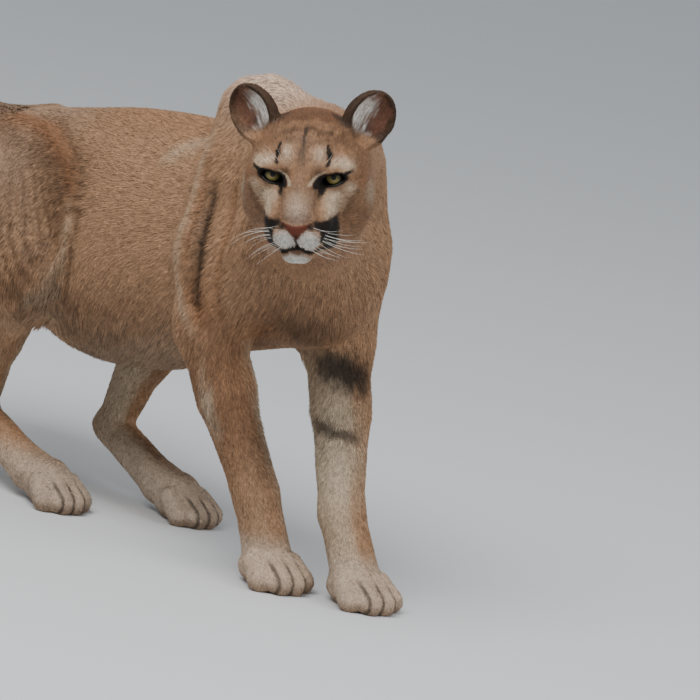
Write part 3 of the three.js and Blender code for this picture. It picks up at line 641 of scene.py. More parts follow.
            c.add(colour, amount * self.stripe(m, start, end, half) * (x > behind))
        c.add(DARK, 0.55 * spot(m, (10, 0, 30), (40, 4.5, 13), 2.4))
        wave = z - 55.0 + 0.011 * (y - 4.0) ** 2 + 1.6 * noise(h, 9.0, 34)
        c.add(DARK, 0.42 * smooth(2.6, 0.8, np.abs(wave)) * (x > -40) * smooth(38, 28, y))
        c.add(FACE, 0.5 * smooth(3.0, 1.0, np.abs(wave - 4.5)) * (x > -45) * smooth(34, 24, y))

    def muzzle(self, c: Layers, h: Array, m: Array, mottle: Array) -> None:
        """Paint the muzzle, lips, chin and nose, and the dark rims of the eyes.

        Args:
            c: The paint so far.
            h: Places in the head's axes.
            m: The same places, folded to one side and shaken a little.
            mottle: Soft specks from 0 to 1.
        """
        x, y, z = m.T
        c.add(WHITE, 1.0 * spot(m, (52, 14.5, -71), (30, 15.5, 14), 5.0))
        black = smooth(18, 23.5, y + 0.25 * (z + 50.0)) * smooth(47.5, 43, y + 0.8 * noise(h, 6.0, 33))
        black *= smooth(-43, -49, z - 0.1 * (y - 24.0)) * smooth(-93, -87, z) * (x > -8.0)
        pad = smooth(31.5, 28, y + 1.5 * mottle) * smooth(-52, -56, z - 0.5 * (20.0 - y)) * (x > 36.0)
        c.add(BLACK, 0.97 * black * (1.0 - pad))
        c.add(WHITE, 0.97 * spot(m, (44, 0, -98), (26, 17.5, 9.5), 5.0))
        c.add(GREY, 0.5 * spot(m, (20, 0, -112), (40, 34, 9), 3.0))
        ring = eye_space(h)
        inner = smooth(34, 26, y)
        c.add(PALE, 0.55 * smooth(2.0, 1.8, ring) * smooth(1.5, 1.65, ring) * inner * (z > -6))
        c.add(BLACK, 0.98 * smooth(1.4, 1.18, ring - 0.22 * inner))
        c.add(BLACK, 0.97 * self.stripe(m, (50, 5.5), (60, 9.5), 2.4) * (x > -20))
        c.add(BLACK, 0.97 * self.stripe(m, (27, -7), (24.5, -23), 3.3) * smooth(-27, -18, z) * (x > -4))
        fold = np.interp(y, [0, 13, 20, 40], [-80.5, -86.5, -87.5, -84])
        thick = np.interp(y, [0, 8, 20, 40], [3.2, 2.9, 2.0, 1.6])
        lip = smooth(1.25, 0.7, np.abs(z - fold) / thick) * smooth(44, 38, y) * smooth(8, 16, x)
        c.add(BLACK, 0.97 * lip)
        c.add(MOUTH, 0.7 * spot(m, (52, 0, -86.5), (14, 9, 2.6), 4.0))
        c.add(BLACK, 0.9 * smooth(2.0, 0.8, y) * smooth(-84, -80, z) * smooth(-64, -68, z) * (x > 40))
        for row in range(4):
            line = smooth(1.5, 0.5, np.abs(z + 65.0 + row * 4.6 + 0.12 * y))
            dots = smooth(0.25, 0.6, np.sin(y * 1.1 + row)) * smooth(9, 13, y) * smooth(29, 25, y)
            c.add(DARK, 0.35 * line * dots * smooth(30, 40, x))
        nose = nose_mask(h)
        c.add(NOSE, nose)
        c.add(BLACK, 0.9 * spot(m, (64, 17.5, -53), (14, 4.6, 4.4), 3.0) * (x > 48))
        c.add(BLACK, 0.6 * nose * smooth(-60, -69, z))
        c.add(BLACK, 0.5 * nose * smooth(14, 20, y))

    @staticmethod
    def ears(c: Layers, h: Array, hn: Array) -> None:
        """Paint the ears, dark behind and with white hair in the cup.

        Args:
            c: The paint so far.
            h: Places in the head's axes.
            hn: Outward directions there.
        """
        ear, inside, edge, across, along = EAR.masks(h, hn)
        c.add(DARK * 1.7, 0.88 * ear)
        c.add(EAR_CUP, 0.95 * inside)
        c.add(DARK, 0.7 * inside * bell(across + 2, 8) * bell(along - 16, 9))
        strand = noise(np.stack([across, along * 0.16, h[:, 0] * 0.3], axis=1), 2.2, 37)
        hairs = smooth(-8, 8, across + 9.0 * strand) * smooth(66, 42, along + 8.0 * strand)
        hairs = np.maximum(hairs, smooth(14, 7, along))
        c.add(WHITE, (0.72 + 0.2 * strand) * inside * hairs)
        c.add(PALE, 0.75 * edge)


LIE = CoatLie()
PAINT = CoatPaint()


@dataclass
class Surface:
    """A triangle mesh as arrays, in millimetres, in the animal's own layout."""

    points: Array
    triangles: Array

    def normals(self) -> Array:
        """Return a smooth outward direction at each point."""
        a, b, c = (self.points[self.triangles[:, k]] for k in range(3))
        face = np.cross(b - a, c - a)
        out = np.zeros_like(self.points)
        for k in range(3):
            np.add.at(out, self.triangles[:, k], face)
        return unit(out)

    def relaxed(self, rounds: int, share: Array) -> "Surface":
        """Return the surface smoothed without shrinking much.

        Args:
            rounds: How many times it is smoothed.
            share: How much of the smoothing each point takes.

        Returns:
            The smoothed surface.
        """
        t = self.triangles
        start, end = np.concatenate([t[:, [0, 1]], t[:, [1, 2]], t[:, [2, 0]]]).T
        p = self.points.copy()
        count = np.bincount(start, minlength=len(p)).astype(float)[:, None]
        for k in range(rounds * 2):
            total = [np.bincount(start, weights=p[end, i], minlength=len(p)) for i in range(3)]
            step = 0.5 if k % 2 == 0 else -0.52
            p += (np.stack(total, axis=1) / np.maximum(count, 1.0) - p) * step * share[:, None]
        return Surface(p, t)


def placed(name: str, data: ID) -> Object:
    """Return a new object around its data, put into the scene."""
    obj = bpy.data.objects.new(name, data)
    bpy.context.collection.objects.link(obj)
    return obj


def mesh_object(name: str, points: Array, faces: Array) -> Object:
    """Make an object.

    Args:
        name: Its name.
        points: Its points in millimetres of the animal's layout.
        faces: Its faces, all with as many corners.

    Returns:
        The object, smooth shaded and in the scene.
    """
    mesh = bpy.data.meshes.new(name)
    count, corners = faces.shape
    mesh.vertices.add(len(points))
    mesh.vertices.foreach_set("co", ((points + SHIFT) * MM).astype(np.float32).ravel())
    mesh.loops.add(count * corners)
    mesh.loops.foreach_set("vertex_index", faces.astype(np.int32).ravel())
    mesh.polygons.add(count)
    mesh.polygons.foreach_set("loop_start", np.arange(0, count * corners, corners, dtype=np.int32))
    mesh.polygons.foreach_set("use_smooth", np.ones(count, bool))
    mesh.update(calc_edges=True)
    return placed(name, mesh)


def applied(obj: Object) -> Mesh:
    """Return an object's mesh with its modifiers applied, and remove the object."""
    graph = bpy.context.evaluated_depsgraph_get()
    result = bpy.data.meshes.new_from_object(obj.evaluated_get(graph))
    old = obj.data
    bpy.data.objects.remove(obj)
    bpy.data.meshes.remove(old)
    return result


def read_back(mesh: Mesh) -> Surface:
    """Return a mesh as a surface in the animal's own layout, and remove the mesh."""
    mesh.calc_loop_triangles()
    points = np.empty(len(mesh.vertices) * 3)
    mesh.vertices.foreach_get("co", points)
    triangles = np.empty(len(mesh.loop_triangles) * 3, np.int32)
    mesh.loop_triangles.foreach_get("vertices", triangles)
    bpy.data.meshes.remove(mesh)
    return Surface(points.reshape(-1, 3) / MM - SHIFT, triangles.reshape(-1, 3))


def merged_nodes(names: list[str]) -> Surface:
    """Fuse CAD nodes into one closed surface.

    Args:
        names: The nodes.

    Returns:
        The fused surface, as triangles.
    """
    bm = bmesh.new()
    for name in names:
        bm.from_mesh(bpy.data.objects[name].data)
    bmesh.ops.remove_doubles(bm, verts=bm.verts, dist=1e-6)
    bm.normal_update()
    for vert in bm.verts:
        vert.co += vert.normal * JOIN_SWELL * MM
    mesh = bpy.data.meshes.new("fused")
    bm.to_mesh(mesh)
    bm.free()
    obj = placed("fused", mesh)
    modifier = obj.modifiers.new("fuse", "REMESH")
    modifier.mode = "VOXEL"
    modifier.voxel_size = SKIN_CELL * MM
    return read_back(applied(obj))


def thinned(surface: Surface) -> Surface:
    """Thin the body's mesh and leave the head's and the feet's as they are.

    Args:
        surface: The whole skin.

    Returns:
        The thinned skin.
    """
    obj = mesh_object("thinning", surface.points, surface.triangles)
    body = np.nonzero(region_at(surface.points, Region.BODY))[0]
    obj.vertex_groups.new(name="body").add(body.tolist(), 1.0, "REPLACE")
    modifier = obj.modifiers.new("thin", "DECIMATE")
    modifier.ratio = SKIN_KEPT
    modifier.vertex_group = "body"
    return read_back(applied(obj))


def coat_depth(p: Array) -> Array:
    """Measure how deep the coat is.

    Args:
        p: Places in millimetres, in the animal's own layout.

    Returns:
        Millimetres at each place.
    """
    h = HEAD.local(p)
    face = 1.2 + 1.8 * smooth(10, -60, h[:, 0])
    face += 1.6 * spot(mirrored(h), (-50, 60, -50), (40, 40, 40))
    face *= smooth(1.0, 1.8, eye_space(h))
    face *= 1.0 - nose_mask(h)
    face *= 1.0 - 0.7 * (smooth(40, 52, h[:, 2]) * smooth(34, 44, np.abs(h[:, 1])))
    z = p[:, 2]
    depth = 1.6 + 1.8 * smooth(60, 320, z) * smooth(2, 10, z)
    depth *= smooth(-2, 8, z)
    depth += 3.0 * smooth(-420, -480, p[:, 0])
    belly = smooth(270, 215, z) * smooth(150, 190, z) * smooth(90, 60, np.abs(p[:, 1]))
    share = head_share(p)
    return face * share + (depth + 3.0 * belly) * (1 - share)


def folds(p: Array) -> Array:
    """Measure how far the skin rises or sinks in its folds.

    Args:
        p: Places in millimetres, in the animal's own layout.

    Returns:
        Millimetres at each place.
    """
    x, y, z = p.T
    rise = np.zeros(len(p))
    for line in NECK_FOLDS:
        distance, _ = line_distance(p, line)
        rise -= 2.2 * bell(distance, 5.5)
        rise += 1.4 * bell(distance - 11.0, 6.0)
    rise -= 7.0 * bell(line_distance(p, ELBOW_CREASE)[0], 8.0) * smooth(525, 480, z)
    rise += 3.2 * bell(line_distance(p, ELBOW_RIDGE)[0], 7.0) * smooth(575, 520, z)
    rise += 2.4 * bell(line_distance(p, BACK_RIDGE)[0], 9.0)
    distance, side = line_distance(p, THIGH_EDGE)
    rise -= 6.0 * bell(distance * side - 9.0, 8.0)
    rise += 3.2 * bell(distance * side + 4.0, 7.0)
    knee = np.exp(-(((x + 125.0) / 55.0) ** 2) - ((z - 330.0) / 60.0) ** 2)
    rise -= 1.8 * knee * thigh_wrinkles(p)
    rise += 0.9 * noise(p * UPRIGHT, 13.0, 43)
    flank = smooth(35, 65, np.abs(y))
    return rise * flank * smooth(215, 240, z) * smooth(-330, -290, x) * (1 - head_share(p))


def tint(obj: Object, colours: Array) -> None:
    """Store a linear colour at each point of an object's mesh.

    Args:
        obj: The object.
        colours: Its colours.
    """
    attribute = obj.data.color_attributes.new("coat_tint", "FLOAT_COLOR", "POINT")
    data = np.concatenate([colours, np.ones((len(colours), 1))], axis=1)
    attribute.data.foreach_set("color", np.clip(data, 0.0, 1.0).astype(np.float32).ravel())


def node(tree: NodeTree, kind: str, **values: object) -> Node:
    """Add a node.

    Args:
        tree: Where it goes.
        kind: Its type.
        values: Values of its inputs; an underscore stands for a space, and in0 for the first input.

    Returns:
        The node.
    """
    made = tree.nodes.new(kind)
    for name, value in values.items():
        key = int(name[2:]) if name.startswith("in") else name.replace("_", " ")
        made.inputs[key].default_value = value
    return made


def wire(tree: NodeTree, *links: tuple) -> None:
    """Link nodes, each link as a node, its output, another node and its input."""
    for source, output, target, entry in links:
        tree.links.new(source.outputs[output], target.inputs[entry])


def group(name: str, kind: str, entries: dict[str, str], exits: dict[str, str]) -> tuple[NodeTree, Node, Node]:
    """Start a node group.

    Args:
        name: Its name.
        kind: Its type.
        entries: Its inputs and their types.
        exits: Its outputs and their types.

    Returns:
        The group, its input node and its output node.
    """
    tree = bpy.data.node_groups.new(name, kind)
    for way, sockets in (("INPUT", entries), ("OUTPUT", exits)):
        for socket, value in sockets.items():
            tree.interface.new_socket(socket, in_out=way, socket_type=f"NodeSocket{value}")
    return tree, node(tree, "NodeGroupInput"), node(tree, "NodeGroupOutput")


def soft_grain() -> NodeTree:
    """Build the shader group that breaks up a colour and gives the height of its grain."""
    entries = {"Colour": "Color", "Scale": "Float", "Amount": "Float"}
    tree, enter, leave = group("soft_grain", "ShaderNodeTree", entries, {"Colour": "Color", "Height": "Float"})
    coords = node(tree, "ShaderNodeTexCoord")
    grain = node(tree, "ShaderNodeTexNoise", Detail=3.0)
    shade = node(tree, "ShaderNodeMapRange", From_Min=0.3, From_Max=0.7)
    low, high = node(tree, "ShaderNodeMath", in0=1.0), node(tree, "ShaderNodeMath", in0=1.0)
    low.operation, high.operation = "SUBTRACT", "ADD"
    mix = node(tree, "ShaderNodeVectorMath")
    mix.operation = "SCALE"
    wire(
        tree,
        (coords, "Object", grain, "Vector"),
        (enter, "Scale", grain, "Scale"),
        (enter, "Amount", low, 1),
        (enter, "Amount", high, 1),
        (grain, "Fac", shade, "Value"),
        (low, 0, shade, "To Min"),
        (high, 0, shade, "To Max"),
        (enter, "Colour", mix, 0),
        (shade, "Result", mix, "Scale"),
        (mix, "Vector", leave, "Colour"),
        (grain, "Fac", leave, "Height"),
    )
    return tree


@dataclass(frozen=True)
class Finish:
    """A surface finish: a stored or plain colour, its gloss and its grain."""

    name: str
    roughness: float
    grain_scale: float
    grain_amount: float
    bump: float
    colour: Triple | None = None
    coat: float = 0.0
    specular: float = 0.5

    def material(self, grain: NodeTree) -> Material:
        """Build the finish as a material.

        Args:
            grain: The shared grain group.

        Returns:
            The material.
        """
        mat = bpy.data.materials.new(self.name)
        mat.use_nodes = True
        tree = mat.node_tree
        shader = tree.nodes["Principled BSDF"]
        shader.inputs["Roughness"].default_value = self.roughness
        shader.inputs["Coat Weight"].default_value = self.coat
        shader.inputs["Coat Roughness"].default_value = 0.04
        shader.inputs["Specular IOR Level"].default_value = self.specular
        texture = node(tree, "ShaderNodeGroup")
        texture.node_tree = grain
        texture.inputs["Scale"].default_value = self.grain_scale
        texture.inputs["Amount"].default_value = self.grain_amount
        if self.colour is None:
            stored = node(tree, "ShaderNodeAttribute")
            stored.attribute_name = "coat_tint"
            wire(tree, (stored, "Color", texture, "Colour"))
        else:
            texture.inputs["Colour"].default_value = (*linear(self.colour), 1.0)
        bump = node(tree, "ShaderNodeBump", Strength=self.bump, Distance=0.0015)
        wire(
            tree,
            (texture, "Colour", shader, "Base Color"),
            (texture, "Height", bump, "Height"),
            (bump, "Normal", shader, "Normal"),
        )
        return mat


FINISHES = {
    "skin": Finish("coat_underfur", 0.85, 420.0, 0.25, 0.6, specular=0.2),
    "hair": Finish("coat_hair", 0.62, 260.0, 0.16, 0.0, specular=0.3),
    "eye": Finish("eye_iris", 0.25, 900.0, 0.12, 0.0, coat=0.14, specular=0.2),
    "lid": Finish("eye_lid", 0.4, 700.0, 0.2, 0.4, colour=(22, 17, 14)),
    "whisker": Finish("whisker_white", 0.4, 300.0, 0.05, 0.0, colour=(225, 220, 210)),
}


@dataclass
class Tufts:
    """Hair tufts as closed three-sided locks rooted on a skin."""

    roots: Array
    normals: Array
    lie: Array
    length: Array
    width: Array
    lift: Array
    colour: Array

    def take(self, chosen: Array) -> "Tufts":
        """Return only the chosen tufts."""
        return Tufts(*(values[chosen] for values in vars(self).values()))

    def build(self, name: str, mat: Material) -> Object:
        """Make the locks as one mesh with its bake map.

        Args:
            name: Name of the piece.
            mat: Its material.

        Returns:
            The finished object.
        """
        n, lie, width, lift = self.normals, self.lie, self.width[:, None], self.lift[:, None]
        length = self.length[:, None]
        side = np.cross(n, lie)
        tip = self.roots + lie * length + n * lift
        ridge = self.roots + lie * (0.2 * length) + n * (width * 0.32 + 0.25 * lift)
        half, sunk = side * (width * 0.5), n * (0.25 * width)
        corners = [self.roots - half - sunk, self.roots + half - sunk, ridge, tip]
        base = np.arange(len(n), dtype=np.int64)[:, None] * 4
        pattern = np.array([0, 3, 2, 2, 3, 1, 0, 1, 3, 0, 2, 1])
        obj = mesh_object(name, np.stack(corners, axis=1).reshape(-1, 3), (base + pattern).reshape(-1, 3))
        # Each tuft is darkest at its root corners and a little brighter at its tip: painted shade deep in the coat.
        shade = np.array([0.72, 0.72, 0.95, 1.08])
        tint(obj, (self.colour[:, None, :] * shade[None, :, None]).reshape(-1, 3))
        soft = np.stack([n - 0.25 * side, n + 0.25 * side, n - 0.1 * lie, n + 0.25 * lie], axis=1)
        obj.data.normals_split_custom_set_from_vertices(unit(soft).reshape(-1, 3))
        self.bake_map(obj, pattern)
        obj.data.materials.append(mat)
        return obj

    def bake_map(self, obj: Object, pattern: Array) -> None:
        """Lay each tuft's patch at its root's place on an even unwrap of the skin below it.

        Args:
            obj: The piece.
            pattern: The corners of one tuft's faces.
        """
        count = len(self.roots)
        rows = int(math.ceil(math.sqrt(count)))
        main = int(np.argmax(self.roots.max(axis=0) - self.roots.min(axis=0)))
        first, second = (k for k in range(3) if k != main)
        away = self.roots - self.roots.mean(axis=0)
        place = np.arange(count)
        row, column = np.empty(count, int), np.empty(count, int)
        row[np.argsort(self.roots[:, main], kind="stable")] = place // rows
        column[np.lexsort((np.arctan2(away[:, second], away[:, first]), row))] = place % rows
        cell = 1.0 / rows
        corner = np.stack([(column + 0.1) * cell, (row + 0.1) * cell], axis=1)
        shape = path((0, 0), (1, 0), (0.5, 0.35), (0.5, 1)) * min(0.003, cell * 0.8)
        uv = corner[:, None, :] + shape[pattern][None, :, :]
        layer = obj.data.uv_layers.new(name="OFBake")
        layer.data.foreach_set("uv", np.clip(uv, 0.0, 1.0).astype(np.float32).ravel())


@dataclass
class Skin:
    """The one skin over all the flesh, and the coat that grows on it."""

    surface: Surface
    seed: int = 5

    def build(self, name: str, mat: Material) -> Object:
        """Sink the surface by the coat's depth and dress it as under-fur.

        Args:
            name: Name of the piece.
            mat: Its material.

        Returns:
            The finished skin.
        """
        n = self.surface.normals()
        outer = self.surface.points.copy()
        sunk = np.maximum(coat_depth(outer) - folds(outer), -0.4)
        self.surface = Surface(outer - n * sunk[:, None], self.surface.triangles)
        self.surface.points[:, 2] = np.maximum(self.surface.points[:, 2], FLOOR)
        obj = mesh_object(name, self.surface.points, self.surface.triangles)
        clump = 1.0 + 0.1 * noise(outer, 14.0, 3)
        tint(obj, PAINT.whole(outer, n) * 0.82 * clump[:, None])
        obj.data.materials.append(mat)
        return obj

    @staticmethod
    def density(p: Array) -> Array:
        """Set how thickly tufts are sown.

        Args:
            p: Places in millimetres, in the animal's own layout.

        Returns:
            A share at each place, 0 on the bare nose, eyes and soles.
        """
        h = HEAD.local(p)
        share = head_share(p)
        bare = (nose_mask(h) > 0.3) | (eye_space(h) < 1.12)
        head = np.where(bare & (share > 0.5), 0.0, 0.45 + 0.55 * smooth(-90, 10, h[:, 0]))
        body = np.where(p[:, 2] < FLOOR + NO_TUFTS_BELOW, 0.0, 1.0 + 0.2 * smooth(220, 180, p[:, 2]))
        return head * share + body * (1 - share)

    def sow(self, region: Region) -> Tufts:
        """Sow a region's tufts over the skin, evenly and always the same.

        Args:
            region: The part of the coat.

        Returns:
            Its tufts, without those that would reach the floor.
        """
        rng = np.random.default_rng(self.seed + region.value)
        p, t = self.surface.points, self.surface.triangles
        n = self.surface.normals()
        a, b, c = (p[t[:, k]] for k in range(3))
        area = np.linalg.norm(np.cross(b - a, c - a), axis=1) * 0.5
        middle = (a + b + c) / 3.0
        weight = area * self.density(middle) * region_at(middle, region)
        weight /= weight.sum()
        index = np.repeat(np.arange(len(t)), rng.multinomial(region.value, weight))
        u = np.sqrt(rng.random(len(index)))[:, None]
        v = rng.random(len(index))[:, None]
        roots = a[index] * (1 - u) + b[index] * u * (1 - v) + c[index] * u * v
        na, nb, nc = (n[t[index, k]] for k in range(3))
        normal = unit(na * (1 - u) + nb * u * (1 - v) + nc * u * v)

        def flat(way: Array) -> Array:
            """Return directions laid flat on the skin."""
            return unit(way - np.sum(way * normal, axis=1, keepdims=True) * normal)

        clump = np.stack([noise(roots, 16.0, 11 + k) for k in range(3)], axis=1)
        flow = flat(flat(LIE.whole(roots)) + 0.14 * clump + 0.1 * rng.normal(size=roots.shape))
        length, width = self.sizes(roots, normal)
        vary = rng.uniform(0.7, 1.25, len(roots))
        shine = 1.0 + 0.16 * rng.normal(size=len(roots))
        shine = shine + 0.24 * noise(roots, 3.2, 21) + 0.06 * noise(roots, 40.0, 22)
        shine *= np.where(rng.random(len(roots)) < DARK_TUFTS, 0.6, 1.06)
        colour = PAINT.whole(roots, normal) * np.clip(shine, 0.3, 1.8)[:, None]
        lift = coat_depth(roots) * rng.uniform(0.35, 0.75, len(roots)) + 0.3
        tips = roots[:, 2] + flow[:, 2] * length * vary + normal[:, 2] * lift
        tufts = Tufts(roots, normal, flow, length * vary, width * vary, lift, colour)
        return tufts.take(tips > FLOOR + FLOOR_CLEAR)

    @staticmethod
    def sizes(p: Array, n: Array) -> tuple[Array, Array]:
        """Size the tufts.

        Args:
            p: Their roots.
            n: Outward directions there.

        Returns:
            Each tuft's length and width.
        """
        h = HEAD.local(p)
        face = 3.0 + 5.5 * smooth(30, -90, h[:, 0])
        face += 5.0 * spot(mirrored(h), (-50, 66, -55), (35, 25, 35))
        face *= 1.0 - 0.55 * smooth(2.6, 1.2, eye_space(h))
        face *= 1.0 - 0.4 * smooth(36, 56, h[:, 0])
        ear, inside, _, across, along = EAR.masks(h, n @ HEAD.axes().T)
        hairs = inside * np.maximum(smooth(-8, 6, across), smooth(16, 8, along))
        face = face * (1 - 0.6 * ear) + 9.0 * hairs
        x, z = p[:, 0], p[:, 2]
        length = 3.8 + 1.8 * smooth(30, 100, z) + 3.0 * smooth(100, 330, z)
        length += 5.0 * smooth(-440, -520, x)
        length += 5.0 * spot(p, (365, -40, 385), (55, 80, 70))
        above = smooth(170, 200, z)
        length += 6.0 * (smooth(-150, -90, x) * smooth(240, 190, x)) * smooth(330, 230, z) * above
        length += 8.0 * smooth(-0.2, -0.8, n[:, 2]) * above
        share = head_share(p)
        length = face * share + length * (1 - share)
        return length, 0.55 + 0.075 * length


def ring_faces(rows: int, around: int, closed: bool = False) -> Array:
    """Join rings of points.

    Args:
        rows: How many rings.
        around: How many points a ring has.
        closed: Whether the last ring joins the first.

    Returns:
        The triangles between the rings.
    """
    r, k = np.divmod(np.arange((rows if closed else rows - 1) * around), around)
    here, there, after = r * around, (r + 1) % rows * around, (k + 1) % around
    a, b, c, d = here + k, here + after, there + after, there + k
    return np.concatenate([np.stack([a, d, c], axis=1), np.stack([a, c, b], axis=1)])


@dataclass
class Eye:
    """An eyeball with its iris, its clear bulge and the dark rims of its lids."""

    side: int
    iris_radius: float = 9.3
    pupil_radius: float = 3.3
    rings: int = 56
    segments: int = 72
    rim_corners: int = 8

    def name(self, what: str) -> str:
        """Return a piece's name with the eye's side."""
        return f"{what}_left" if self.side > 0 else f"{what}_right"

    def build(self, mat: Material) -> Object:
        """Make the eyeball, coloured ring by ring around its gaze.

        Args:
            mat: Its material.

        Returns:
            The eyeball.
        """
        centre = HEAD.eye(self.side)
        gaze = unit(HEAD.axes()[0] * 0.45 + CAMERA_AXES[2] * 0.55 + path(0, 0, -0.03))
        right = unit(np.cross(path(0, 0, 1), gaze))
        up = np.cross(gaze, right)
        radius = HEAD.eye_radius - 0.1
        turns = 2 * math.pi * np.arange(self.segments) / self.segments
        out = right * np.cos(turns)[:, None] + up * np.sin(turns)[:, None]
        points = [(centre + gaze * (radius + 0.5))[None]]
        tones = [linear((8, 8, 8))[None]]
        for angle in (np.linspace(0.0, 1.0, self.rings) ** 1.35 * math.pi)[1:-1]:
            bulge = 0.5 * math.exp(-((angle / 0.45) ** 4))
            points.append(centre + (gaze * math.cos(angle) + out * math.sin(angle)) * (radius + bulge))
            tones.append(self.tone(angle, turns, radius))
        points.append((centre - gaze * radius)[None])
        tones.append(linear((60, 50, 44))[None])
        rows = self.rings - 2
        k = np.arange(self.segments)
        after, last = (k + 1) % self.segments, 1 + (rows - 1) * self.segments
        front = np.stack([0 * k, 1 + k, 1 + after], axis=1)
        back = np.stack([last + k, 0 * k + rows * self.segments + 1, last + after], axis=1)
        faces = np.concatenate([front, 1 + ring_faces(rows, self.segments), back])
        obj = mesh_object(self.name("eyeball"), np.concatenate(points), faces)
        tint(obj, np.concatenate(tones))
        obj.data.materials.append(mat)
        return obj

    def tone(self, angle: float, turns: Array, radius: float) -> Array:
        """Colour one ring of the eye.

        Args:
            angle: How far the ring lies from the gaze.
            turns: Where its points lie round the gaze.
            radius: The eyeball's radius.

        Returns:
            A colour a point.
        """
        iris, pupil = math.asin(self.iris_radius / radius), math.asin(self.pupil_radius / radius)
        if angle < pupil or angle >= iris:
            return np.tile(linear((6, 6, 6) if angle < pupil else (24, 18, 15)), (len(turns), 1))
        t = (angle - pupil) / (iris - pupil)
        streak = 0.5 + 0.5 * np.sin(turns * 23 + 3 * np.sin(turns * 5)) * np.sin(turns * 11 + 1.0)
        tone = linear((138, 122, 70)) * (1 - t) + linear((90, 86, 48)) * t
        # The iris darkened towards its top: painted shadow of the upper lid.
        shade = np.clip((0.3 - np.sin(turns) * angle / iris) / 0.65, 0.0, 1.0)
        return tone * ((0.75 + 0.4 * streak) * (0.1 + 0.9 * shade) * (1.0 if t < 0.84 else 0.25))[:, None]

    def build_rim(self, mat: Material) -> Object:
        """Make the dark bare edge of the lids, pointed at both corners.

        Args:
            mat: Its material.

        Returns:
            The rim.
        """
        centre, axes = HEAD.eye(self.side), HEAD.axes()
        along = unit(axes[1] * self.side * math.cos(EYE_TILT) + axes[2] * math.sin(EYE_TILT))
        high = unit(np.cross(axes[0], along)) * self.side
        t = (2 * math.pi * np.arange(self.segments) / self.segments)[:, None]
        u, v = 16.2 * np.cos(t), 7.7 * np.sin(t) * np.abs(np.sin(t)) ** 0.2
        x = np.sqrt(np.maximum(16.9**2 - u * u - v * v, 22.0))
        line = centre + axes[0] * x + along * u + high * v - axes[2] * LID_DROP
        out = unit(line - centre)
        across = np.cross(unit(np.roll(line, -1, axis=0) - np.roll(line, 1, axis=0)), out)
        a = (2 * math.pi * np.arange(self.rim_corners) / self.rim_corners)[None, :, None]
        points = line[:, None] + out[:, None] * np.cos(a) * 0.9 + across[:, None] * np.sin(a) * 1.25
        faces = ring_faces(self.segments, self.rim_corners, closed=True)
        obj = mesh_object(self.name("lid_rim"), points.reshape(-1, 3), faces)
        bm = bmesh.new()
        bm.from_mesh(obj.data)
        bmesh.ops.recalc_face_normals(bm, faces=bm.faces)
        bm.to_mesh(obj.data)
        bm.free()
        obj.data.materials.append(mat)
        return obj


